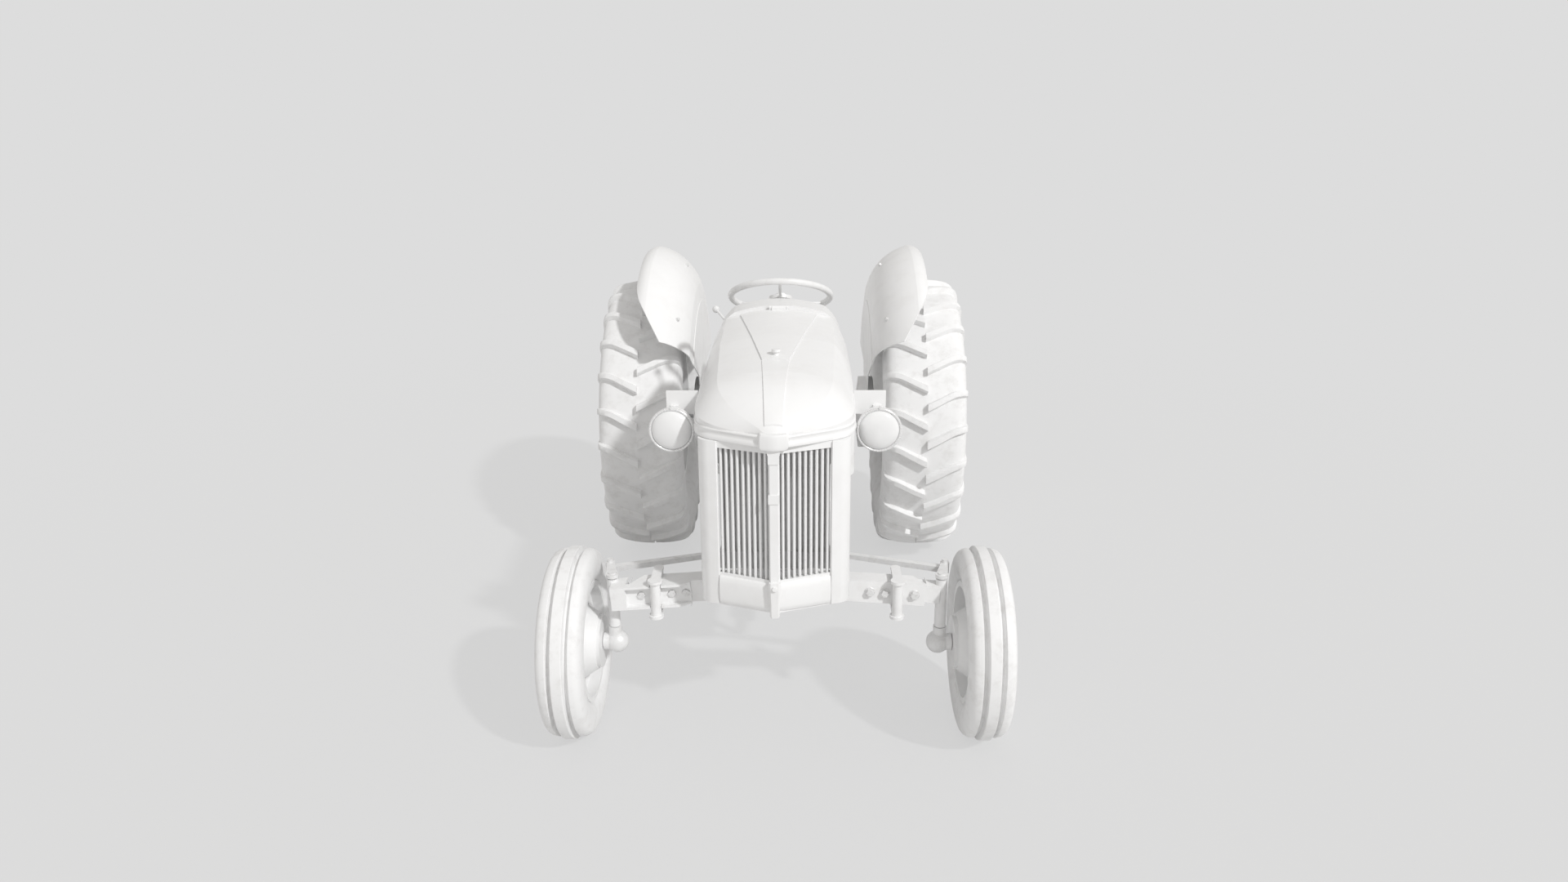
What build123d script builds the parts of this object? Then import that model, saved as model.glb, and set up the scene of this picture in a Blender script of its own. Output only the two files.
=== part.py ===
from build123d import *
from math import asin, atan2, cos, radians, sin
import os

# A vintage utility tractor, in millimetres.
# It faces -Y, +Z is up, +X is its left side. The origin is on the ground,
# under the middle of its length. Lengths along the tractor are given as
# distances behind the front axle, and along() turns them into Y.

os.makedirs("parts", exist_ok=True)

# Stance
WHEELBASE = 1778
FRONT_TRACK = 1430
REAR_TRACK = 1294
FRONT_TYRE_R = 338
FRONT_TYRE_W = 158
FRONT_RIM_R = 200
REAR_TYRE_R = 660
REAR_TYRE_W = 378
REAR_RIM_R = 356
LINK_PIVOT_BEHIND = 1700
LINK_PIVOT_Z = 440
LINK_LENGTH = 850
LINK_EYE_R = 32
LINK_BALL_BORE = 11.3
LINK_END_BEHIND = LINK_PIVOT_BEHIND + LINK_LENGTH
FRONT_AXLE_Y = -(LINK_END_BEHIND + LINK_EYE_R - FRONT_TYRE_R) / 2
REAR_AXLE_Y = FRONT_AXLE_Y + WHEELBASE

# Fits
SEAT_GAP = 0.3
RUNNING = 0.05
OPEN_PIN = 0.5


def along(behind):
    """Y of a place that lies this far behind the front axle."""
    return FRONT_AXLE_Y + behind


def cross_plane(behind):
    """Plane across the tractor, seen from the front: local x is +X, local y is +Z."""
    return Plane(origin=(0, along(behind), 0), x_dir=(1, 0, 0), z_dir=(0, -1, 0))


def side_plane(x):
    """Plane along the tractor at this X: local x is +Y, local y is +Z."""
    return Plane(origin=(x, 0, 0), x_dir=(0, 1, 0), z_dir=(1, 0, 0))


def rod_plane(start, end):
    """Plane at the start of a rod, facing its end."""
    return Plane(origin=start, z_dir=Vector(*end) - Vector(*start))


def rod_length(start, end):
    return (Vector(*end) - Vector(*start)).length


def cap_middle(rim, depth):
    """Middle of a round cap's profile: its radius, and its depth below the rim plane."""
    ball = (rim ** 2 + depth ** 2) / (2 * depth)
    half_turn = asin(rim / ball) / 2
    return ball * sin(half_turn), depth - ball * (1 - cos(half_turn))


def finish(piece, label):
    piece.part.label = label
    export_step(piece.part, f"parts/{label}.step")


SIDES = (("left", 1), ("right", -1))

# Engine: block, head, pan and front cover
ENGINE_FRONT = 270
ENGINE_LENGTH = 530
ENGINE_MID = ENGINE_FRONT + ENGINE_LENGTH / 2
BLOCK_HALF = 100
BLOCK_BASE = 560
BLOCK_TOP = 950
HEAD_H = 62
HEAD_TOP = BLOCK_TOP + HEAD_H
HEAD_HALF = 92
PAN_HALF = 112
PAN_BOTTOM = 425
PAN_FLANGE = 12
COVER_T = 20
CYLINDERS = 4
CYLINDER_PITCH = 118
PLUG_R = 9
PLUG_H = 46
CORE_PLUG_R = 24

FILTER_R = 46
FILTER_BEHIND = 610
FILTER_BASE = 715
FILTER_H = 170
FILTER_X = -(BLOCK_HALF + FILTER_R + 8)

with BuildPart() as engine:
    with BuildSketch(cross_plane(ENGINE_FRONT)):
        with Locations((0, (BLOCK_BASE + BLOCK_TOP) / 2)):
            RectangleRounded(2 * BLOCK_HALF, BLOCK_TOP - BLOCK_BASE, 8)
    extrude(amount=-ENGINE_LENGTH)
    with BuildSketch(cross_plane(ENGINE_FRONT + 10)):
        with BuildLine():
            Polyline((-PAN_HALF, BLOCK_BASE), (-PAN_HALF, BLOCK_BASE - PAN_FLANGE),
                     (-PAN_HALF + 10, BLOCK_BASE - PAN_FLANGE), (-PAN_HALF + 24, PAN_BOTTOM),
                     (PAN_HALF - 24, PAN_BOTTOM), (PAN_HALF - 10, BLOCK_BASE - PAN_FLANGE),
                     (PAN_HALF, BLOCK_BASE - PAN_FLANGE), (PAN_HALF, BLOCK_BASE), close=True)
        make_face()
    extrude(amount=-(ENGINE_LENGTH - 20))
    fillet(engine.edges().filter_by(Axis.Y).group_by(Axis.Z)[0], 22)
    # cylinder head with its water outlet and spark plugs
    with BuildSketch(Plane.XY.offset(BLOCK_TOP)):
        with Locations((0, along(ENGINE_MID))):
            RectangleRounded(2 * HEAD_HALF, ENGINE_LENGTH - 14, 26)
    extrude(amount=HEAD_H)
    fillet(engine.faces().sort_by(Axis.Z)[-1].edges(), 10)
    with BuildSketch(Plane.XY.offset(HEAD_TOP - 1)):
        for number in range(CYLINDERS):
            with Locations((28, along(ENGINE_MID + (number - (CYLINDERS - 1) / 2) * CYLINDER_PITCH))):
                Circle(PLUG_R)
    extrude(amount=PLUG_H)
    with BuildSketch(Plane.XY.offset(HEAD_TOP - 1)):
        with Locations((0, along(ENGINE_FRONT + 45))):
            Circle(34)
    extrude(amount=30)
    # timing cover on the front and core plugs on both flanks
    with BuildSketch(cross_plane(ENGINE_FRONT)):
        with Locations((0, 640)):
            RectangleRounded(190, 190, 40)
    extrude(amount=COVER_T)
    for flank in (-1, 1):
        with BuildSketch(side_plane(flank * BLOCK_HALF)):
            for number in range(3):
                with Locations((along(ENGINE_MID + (number - 1) * 150), 640)):
                    Circle(CORE_PLUG_R)
        extrude(amount=flank * 5)
    # flat valve cover below the ports on the left flank
    with BuildSketch(side_plane(BLOCK_HALF)):
        with Locations((along(ENGINE_MID), 760)):
            RectangleRounded(430, 90, 20)
    extrude(amount=10)
    # oil filter on its cast pad
    with BuildSketch(Plane.XY.offset(FILTER_BASE)):
        with Locations((FILTER_X, along(FILTER_BEHIND))):
            Circle(FILTER_R)
    extrude(amount=FILTER_H)
    with BuildSketch(Plane.XY.offset(FILTER_BASE + FILTER_H - 1)):
        with Locations((FILTER_X, along(FILTER_BEHIND))):
            RegularPolygon(13, 6)
    extrude(amount=17)
    with BuildSketch(side_plane(-BLOCK_HALF + 2)):
        with Locations((along(FILTER_BEHIND), FILTER_BASE + FILTER_H / 2)):
            Rectangle(50, 60)
    extrude(amount=-22)
finish(engine, "engine_block")

# Manifold on the left flank, with carburettor, downpipe and muffler
PORT_R = 23
MANIFOLD_R = 27
MANIFOLD_X = 152
MANIFOLD_Z = 880
MANIFOLD_START = ENGINE_MID - 205
MANIFOLD_END = ENGINE_MID + 205
DOWNPIPE_R = 21
DOWNPIPE_BEHIND = MANIFOLD_START + 10
MUFFLER_R = 42
MUFFLER_Z = 380
MUFFLER_START = 500
MUFFLER_END = 780
TAILPIPE_END = 1150
PIPE_BEND_R = 70

with BuildPart() as manifold:
    with BuildSketch(cross_plane(MANIFOLD_START)):
        with Locations((MANIFOLD_X, MANIFOLD_Z)):
            Circle(MANIFOLD_R)
    extrude(amount=-(MANIFOLD_END - MANIFOLD_START))
    fillet(manifold.edges(), 12)
    with BuildSketch(side_plane(BLOCK_HALF)):
        for number in range(CYLINDERS):
            place = along(ENGINE_MID + (number - (CYLINDERS - 1) / 2) * CYLINDER_PITCH)
            with Locations((place, MANIFOLD_Z)):
                Circle(PORT_R)
    extrude(amount=MANIFOLD_X - BLOCK_HALF)
    with BuildSketch(side_plane(BLOCK_HALF)):
        for number in range(CYLINDERS):
            place = along(ENGINE_MID + (number - (CYLINDERS - 1) / 2) * CYLINDER_PITCH)
            with Locations((place, MANIFOLD_Z)):
                RectangleRounded(92, 58, 20)
    extrude(amount=10)
    # carburettor below the middle of the manifold
    with BuildSketch(Plane.XY.offset(MANIFOLD_Z)):
        with Locations((MANIFOLD_X, along(ENGINE_MID))):
            RectangleRounded(52, 70, 10)
    extrude(amount=-110)
    with BuildSketch(Plane.XY.offset(MANIFOLD_Z - 100)):
        with Locations((MANIFOLD_X + 6, along(ENGINE_MID))):
            Circle(38)
    extrude(amount=-62)
    with BuildSketch(cross_plane(ENGINE_MID)):
        with Locations((MANIFOLD_X, MANIFOLD_Z - 80)):
            Circle(22)
    extrude(amount=-130)
    # downpipe to the muffler, along the left side below the engine
    with BuildLine():
        pipe_path = FilletPolyline((MANIFOLD_X, along(DOWNPIPE_BEHIND), MANIFOLD_Z),
                                   (MANIFOLD_X, along(DOWNPIPE_BEHIND), MUFFLER_Z),
                                   (MANIFOLD_X, along(TAILPIPE_END), MUFFLER_Z),
                                   radius=PIPE_BEND_R)
    with BuildSketch(Plane(origin=pipe_path @ 0, z_dir=pipe_path % 0)):
        Circle(DOWNPIPE_R)
    sweep()
    with BuildSketch(cross_plane(MUFFLER_START)):
        with Locations((MANIFOLD_X, MUFFLER_Z)):
            Circle(MUFFLER_R)
    extrude(amount=-(MUFFLER_END - MUFFLER_START))
finish(manifold, "manifold_exhaust")

# Units bolted to the engine's flanks: generator and starter
GENERATOR_R = 52
GENERATOR_X = -(BLOCK_HALF + GENERATOR_R + SEAT_GAP)
GENERATOR_Z = 880
GENERATOR_START = 300
GENERATOR_L = 200
STARTER_R = 50
STARTER_Z = 560 + 58
STARTER_START = 590
STARTER_L = 205

with BuildPart() as generator:
    with BuildSketch(cross_plane(GENERATOR_START)):
        with Locations((GENERATOR_X, GENERATOR_Z)):
            Circle(GENERATOR_R)
    extrude(amount=-GENERATOR_L)
    fillet(generator.edges(), 8)
    with BuildSketch(cross_plane(GENERATOR_START)):
        with Locations((GENERATOR_X, GENERATOR_Z)):
            Circle(12)
    extrude(amount=22)
    with BuildSketch(cross_plane(GENERATOR_START - 8)):
        with Locations((GENERATOR_X, GENERATOR_Z)):
            Circle(38)
    extrude(amount=14)
    with BuildSketch(cross_plane(STARTER_START)):
        with Locations((BLOCK_HALF + 5 + SEAT_GAP + STARTER_R, STARTER_Z)):
            Circle(STARTER_R)
    extrude(amount=-STARTER_L)
finish(generator, "generator_starter")

# Cast front support: carries the radiator, the axle pivot and the relay's bearing
SUPPORT_TOP = 652
SUPPORT_T = 18
SUPPORT_HALF = 95
SUPPORT_FRONT = -150
PIVOT_Z = 571
PIVOT_R = 19
YOKE_T = 24
YOKE_GAP = 3
AXLE_DEPTH = 70
RELAY_BEHIND = 95
RELAY_SHAFT_R = 15

with BuildPart() as front_support:
    with BuildSketch(Plane.XY.offset(SUPPORT_TOP - SUPPORT_T)):
        with BuildLine():
            Polyline((-SUPPORT_HALF, along(ENGINE_FRONT - COVER_T)), (-SUPPORT_HALF, along(-60)),
                     (-70, along(SUPPORT_FRONT)), (70, along(SUPPORT_FRONT)),
                     (SUPPORT_HALF, along(-60)), (SUPPORT_HALF, along(ENGINE_FRONT - COVER_T)), close=True)
        make_face()
    extrude(amount=SUPPORT_T)
    # two yoke plates hold the pivot pin in front of and behind the axle beam
    for start in (-AXLE_DEPTH / 2 - YOKE_GAP - YOKE_T, AXLE_DEPTH / 2 + YOKE_GAP):
        with BuildSketch(cross_plane(start)):
            with BuildLine():
                Polyline((-85, SUPPORT_TOP - SUPPORT_T), (-38, PIVOT_Z), (38, PIVOT_Z),
                         (85, SUPPORT_TOP - SUPPORT_T), close=True)
            make_face()
            with Locations((0, PIVOT_Z)):
                Circle(38)
        extrude(amount=-YOKE_T)
    with BuildSketch(cross_plane(-AXLE_DEPTH / 2 - YOKE_GAP - YOKE_T - 12)):
        with Locations((0, PIVOT_Z)):
            Circle(PIVOT_R)
    extrude(amount=-(AXLE_DEPTH + 2 * YOKE_GAP + 2 * YOKE_T + 24))
    # rear flange that bolts to the engine below its front cover
    with BuildSketch(cross_plane(ENGINE_FRONT - COVER_T - 26)):
        with Locations((0, SUPPORT_TOP - SUPPORT_T - 50)):
            RectangleRounded(2 * SUPPORT_HALF, 100 + SUPPORT_T, 10)
    extrude(amount=-26)
    # bearing for the steering relay's shaft
    with BuildSketch(Plane.XY.offset(SUPPORT_TOP)):
        with Locations((0, along(RELAY_BEHIND))):
            Circle(RELAY_SHAFT_R + RUNNING)
    extrude(amount=-SUPPORT_T, mode=Mode.SUBTRACT)
finish(front_support, "front_support")

# Radiator behind the grille, and the fan behind it
RADIATOR_HALF = 190
RADIATOR_FRONT = -70
RADIATOR_T = 62
RADIATOR_BASE = SUPPORT_TOP
RADIATOR_TOP = 1090
TANK_H = 62
FAN_BEHIND = 88
FAN_Z = 890
FAN_R = 172
FAN_HUB_R = 46
BLADES = 4

with BuildPart() as radiator:
    with BuildSketch(cross_plane(RADIATOR_FRONT + 8)):
        with Locations((0, (RADIATOR_BASE + RADIATOR_TOP) / 2)):
            Rectangle(2 * RADIATOR_HALF - 20, RADIATOR_TOP - RADIATOR_BASE - 2)
    extrude(amount=-(RADIATOR_T - 16))
    for base in (RADIATOR_BASE, RADIATOR_TOP - TANK_H):
        with BuildSketch(Plane.XY.offset(base)):
            with Locations((0, along(RADIATOR_FRONT + RADIATOR_T / 2))):
                RectangleRounded(2 * RADIATOR_HALF, RADIATOR_T, 12)
        extrude(amount=TANK_H)
    with BuildSketch(Plane.XY.offset(RADIATOR_TOP - 1)):
        with Locations((0, along(RADIATOR_FRONT + RADIATOR_T / 2))):
            Circle(26)
    extrude(amount=36)
    with BuildSketch(Plane.XY.offset(RADIATOR_TOP + 28)):
        with Locations((0, along(RADIATOR_FRONT + RADIATOR_T / 2))):
            Circle(34)
    extrude(amount=14)
finish(radiator, "radiator")

with BuildPart() as fan:
    with BuildSketch(cross_plane(FAN_BEHIND)):
        with Locations((0, FAN_Z)):
            Circle(FAN_HUB_R)
    extrude(amount=-(ENGINE_FRONT - FAN_BEHIND))
    for number in range(BLADES):
        turn = radians(45 + number * 360 / BLADES)
        pitch = radians(24)
        face = Vector(-sin(turn) * sin(pitch), -cos(pitch), cos(turn) * sin(pitch))
        with BuildSketch(Plane(origin=(0, along(FAN_BEHIND + 20), FAN_Z),
                               x_dir=(cos(turn), 0, sin(turn)), z_dir=face)):
            with Locations((FAN_R / 2 + 12, 0)):
                RectangleRounded(FAN_R - 24, 78, 18)
        extrude(amount=2, both=True)
    with BuildSketch(cross_plane(FAN_BEHIND + 55)):
        with Locations((0, FAN_Z)):
            Circle(70)
    extrude(amount=-24)
finish(fan, "fan")

# Transmission case behind the engine, with its top cover and gear lever boss
BELL_START = ENGINE_FRONT + ENGINE_LENGTH
BELL_END = 990
CASE_END = 1500
BELL_HALF = 158
CASE_HALF = 118
BELL_BASE = 400
BELL_TOP = 880
CASE_BASE = 430
CASE_TOP = 800

with BuildPart() as transmission:
    with BuildSketch(cross_plane(BELL_START)):
        with BuildLine():
            Polyline((-BELL_HALF + 30, BELL_TOP), (-BELL_HALF, BELL_TOP - 110),
                     (-BELL_HALF, BELL_BASE + 90), (-BELL_HALF + 62, BELL_BASE),
                     (BELL_HALF - 62, BELL_BASE), (BELL_HALF, BELL_BASE + 90),
                     (BELL_HALF, BELL_TOP - 110), (BELL_HALF - 30, BELL_TOP), close=True)
        make_face()
    with BuildSketch(cross_plane(BELL_END)):
        with BuildLine():
            Polyline((-CASE_HALF + 30, CASE_TOP), (-CASE_HALF, CASE_TOP - 60),
                     (-CASE_HALF, CASE_BASE + 60), (-CASE_HALF + 50, CASE_BASE),
                     (CASE_HALF - 50, CASE_BASE), (CASE_HALF, CASE_BASE + 60),
                     (CASE_HALF, CASE_TOP - 60), (CASE_HALF - 30, CASE_TOP), close=True)
        make_face()
    loft(ruled=True)
    with BuildSketch(cross_plane(BELL_END)):
        with BuildLine():
            Polyline((-CASE_HALF + 30, CASE_TOP), (-CASE_HALF, CASE_TOP - 60),
                     (-CASE_HALF, CASE_BASE + 60), (-CASE_HALF + 50, CASE_BASE),
                     (CASE_HALF - 50, CASE_BASE), (CASE_HALF, CASE_BASE + 60),
                     (CASE_HALF, CASE_TOP - 60), (CASE_HALF - 30, CASE_TOP), close=True)
        make_face()
    extrude(amount=-(CASE_END - BELL_END))
    # raised flanges where the castings bolt together
    for start in (BELL_START, CASE_END - 30):
        half = BELL_HALF if start == BELL_START else CASE_HALF + 20
        base = BELL_BASE if start == BELL_START else CASE_BASE - 20
        top = BELL_TOP if start == BELL_START else CASE_TOP + 10
        with BuildSketch(cross_plane(start)):
            with Locations((0, (base + top) / 2)):
                RectangleRounded(2 * half + 12, top - base + 12, 60)
        extrude(amount=-30)
    # shift cover
    with BuildSketch(Plane.XY.offset(CASE_TOP)):
        with Locations((0, along(1170))):
            RectangleRounded(150, 220, 30)
    extrude(amount=26)
finish(transmission, "transmission_case")

# Rear housing with the lift cover above it and the power take-off at its back
HOUSING_START = CASE_END
HOUSING_END = 1985
HOUSING_HALF = 150
HOUSING_BASE = 430
HOUSING_TOP = 860
REAR_AXLE_Z = REAR_TYRE_R
COVER_TOP = 945
ROCKER_BEHIND = 1875
ROCKER_Z = 925
ROCKER_R = 20
ROCKER_BOSS_R = 42
PTO_R = 14.3
PTO_Z = 560
PTO_LENGTH = 78
TOP_LINK_BEHIND = 2070
TOP_LINK_Z = 880
TOP_LINK_BORE = 9.6
TOP_LINK_GAP = 54
TOP_LINK_EAR = 14

with BuildPart() as rear_housing:
    with BuildSketch(cross_plane(HOUSING_START)):
        with Locations((0, (HOUSING_BASE + HOUSING_TOP) / 2)):
            RectangleRounded(2 * HOUSING_HALF, HOUSING_TOP - HOUSING_BASE, 46)
    extrude(amount=-(HOUSING_END - HOUSING_START))
    fillet(rear_housing.faces().sort_by(Axis.Y)[-1].edges(), 18)
    # differential bulges that carry the axle housings
    with BuildSketch(side_plane(-HOUSING_HALF - 14)):
        with Locations((REAR_AXLE_Y, REAR_AXLE_Z)):
            Circle(172)
    extrude(amount=2 * (HOUSING_HALF + 14))
    # bearing cap and shaft of the power take-off
    with BuildSketch(cross_plane(HOUSING_END - 20)):
        with Locations((0, PTO_Z)):
            Circle(62)
    extrude(amount=-38)
    with BuildSketch(cross_plane(HOUSING_END)):
        with Locations((0, PTO_Z)):
            Circle(PTO_R)
    extrude(amount=-PTO_LENGTH - 18)
finish(rear_housing, "rear_housing")

with BuildPart() as lift_cover:
    with BuildSketch(Plane.XY.offset(HOUSING_TOP)):
        with Locations((0, along((HOUSING_START + HOUSING_END) / 2 + 30))):
            RectangleRounded(250, HOUSING_END - HOUSING_START - 90, 40)
    extrude(amount=COVER_TOP - HOUSING_TOP, taper=8)
    with BuildSketch(side_plane(-152)):
        with Locations((along(ROCKER_BEHIND), ROCKER_Z)):
            Circle(ROCKER_BOSS_R)
    extrude(amount=304)
    # cross bore of the rocker shaft
    with BuildSketch(side_plane(-160)):
        with Locations((along(ROCKER_BEHIND), ROCKER_Z)):
            Circle(ROCKER_R + RUNNING)
    extrude(amount=320, mode=Mode.SUBTRACT)
    # two ears of the top link bracket
    for flank in (-1, 1):
        with BuildSketch(side_plane(flank * TOP_LINK_GAP / 2)):
            with BuildLine():
                Polyline((along(HOUSING_END - 90), HOUSING_TOP + 10), (along(HOUSING_END - 90), 925),
                         (along(TOP_LINK_BEHIND), TOP_LINK_Z + 26),
                         (along(TOP_LINK_BEHIND), TOP_LINK_Z - 26), close=True)
            make_face()
            with Locations((along(TOP_LINK_BEHIND), TOP_LINK_Z)):
                Circle(26)
        extrude(amount=flank * TOP_LINK_EAR)
    with BuildSketch(side_plane(-TOP_LINK_GAP)):
        with Locations((along(TOP_LINK_BEHIND), TOP_LINK_Z)):
            Circle(TOP_LINK_BORE)
    extrude(amount=2 * TOP_LINK_GAP, mode=Mode.SUBTRACT)
finish(lift_cover, "lift_cover")

# Rear axle housings: a bell at the differential, a trumpet, and the brake drum
BELL_FLANGE_X = HOUSING_HALF + 14
DRUM_START = 372
DRUM_END = 440
DRUM_R = 178
AXLE_TUBE_R = 62
AXLE_SHAFT_R = 32
WHEEL_FACE_X = REAR_TRACK / 2 - 118

with BuildPart() as axle_housings:
    for side, sign in SIDES:
        with BuildSketch(Plane(origin=(0, REAR_AXLE_Y, REAR_AXLE_Z), x_dir=(sign, 0, 0),
                               z_dir=(0, -sign, 0))):
            with BuildLine():
                Polyline((BELL_FLANGE_X, 0), (BELL_FLANGE_X, 178), (BELL_FLANGE_X + 24, 178),
                         (BELL_FLANGE_X + 34, 148), (BELL_FLANGE_X + 110, 82),
                         (DRUM_START - 16, AXLE_TUBE_R), (DRUM_START, DRUM_R),
                         (DRUM_END, DRUM_R), (DRUM_END, AXLE_SHAFT_R), (WHEEL_FACE_X - 34, AXLE_SHAFT_R),
                         (WHEEL_FACE_X - 34, 0), close=True)
            make_face()
        revolve(axis=Axis((0, REAR_AXLE_Y, REAR_AXLE_Z), (1, 0, 0)))
        # foot under the trumpet that carries the lower link pin
        with BuildSketch(side_plane(sign * 262)):
            with BuildLine():
                Polyline((REAR_AXLE_Y - 50, REAR_AXLE_Z - 50), (along(LINK_PIVOT_BEHIND) - 34, LINK_PIVOT_Z),
                         (along(LINK_PIVOT_BEHIND) + 34, LINK_PIVOT_Z), (REAR_AXLE_Y + 50, REAR_AXLE_Z - 50),
                         close=True)
            make_face()
            with Locations((along(LINK_PIVOT_BEHIND), LINK_PIVOT_Z)):
                Circle(34)
        extrude(amount=sign * 26)
        with BuildSketch(side_plane(sign * 262)):
            with Locations((along(LINK_PIVOT_BEHIND), LINK_PIVOT_Z)):
                Circle(14)
        extrude(amount=sign * (26 + 58))
finish(axle_housings, "axle_housings")

# Front axle: a centre channel and two arms that telescope along it
BEAM_ANGLE = 4.1
BEAM_HALF_H = 40
BEAM_WALL = 9
KINGPIN_X = FRONT_TRACK / 2 - 142
BEAM_END_LEFT = KINGPIN_X - 58
BEAM_END_RIGHT = KINGPIN_X - 68
ARM_WALL = 8
ARM_START_LEFT = 205
ARM_START_RIGHT = 295
ARM_LIP = 32
KINGPIN_R = 13
TUBE_R = 20
TUBE_BASE = 402
TUBE_TOP = 582
HOLE_R = 13.5
HOLES_LEFT = (KINGPIN_X - 251, KINGPIN_X - 199, KINGPIN_X - 97)
HOLES_RIGHT = (KINGPIN_X - 261, KINGPIN_X - 212, KINGPIN_X - 105)
BOSS_X = KINGPIN_X - 157
BOSS_R = 18
BOSS_COLLAR_R = 25
BOSS_Y = -58
BEAM_SLOPE = sin(radians(BEAM_ANGLE)) / cos(radians(BEAM_ANGLE))


def beam_middle(x):
    """Height of the beam's middle line at this distance from the centre."""
    return PIVOT_Z - x * BEAM_SLOPE


def beam_plane(sign, start):
    """Plane square to one half of the beam: local x is +Y, the section is symmetric."""
    return Plane(origin=(sign * start, FRONT_AXLE_Y, beam_middle(start)), x_dir=(0, 1, 0),
                 z_dir=(sign * cos(radians(BEAM_ANGLE)), 0, -sin(radians(BEAM_ANGLE))))


def channel(web_face, flange_end, half_height, wall):
    """Outline of a channel: its web's outer face, its flanges' ends, half height and wall."""
    inner = web_face + wall if flange_end > web_face else web_face - wall
    return [(web_face, -half_height), (flange_end, -half_height), (flange_end, wall - half_height),
            (inner, wall - half_height), (inner, half_height - wall),
            (flange_end, half_height - wall), (flange_end, half_height), (web_face, half_height)]


with BuildPart() as axle_center:
    for sign, reach in ((1, BEAM_END_LEFT), (-1, BEAM_END_RIGHT)):
        with BuildSketch(beam_plane(sign, -3)):
            with BuildLine():
                Polyline(*channel(-AXLE_DEPTH / 2, AXLE_DEPTH / 2, BEAM_HALF_H, BEAM_WALL), close=True)
            make_face()
        extrude(amount=(reach + 3) / cos(radians(BEAM_ANGLE)))
        # slanted ends of the flanges
        with BuildSketch(Plane.XY.offset(PIVOT_Z + 60)):
            with BuildLine():
                Polyline((sign * (reach + 2), along(-AXLE_DEPTH / 2 + BEAM_WALL)),
                         (sign * (reach + 2), along(AXLE_DEPTH)),
                         (sign * (reach - 62), along(AXLE_DEPTH)), close=True)
            make_face()
        extrude(amount=-160, mode=Mode.SUBTRACT)
    with BuildSketch(cross_plane(-AXLE_DEPTH / 2)):
        with Locations((0, PIVOT_Z)):
            Circle(36)
    extrude(amount=-AXLE_DEPTH)
    with BuildSketch(cross_plane(-AXLE_DEPTH)):
        with Locations((0, PIVOT_Z)):
            Circle(PIVOT_R + RUNNING)
        for hole in HOLES_LEFT:
            with Locations((hole, beam_middle(hole))):
                Circle(HOLE_R)
        for hole in HOLES_RIGHT:
            with Locations((-hole, beam_middle(hole))):
                Circle(HOLE_R)
    extrude(amount=-2 * AXLE_DEPTH, mode=Mode.SUBTRACT)
finish(axle_center, "axle_center")

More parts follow.
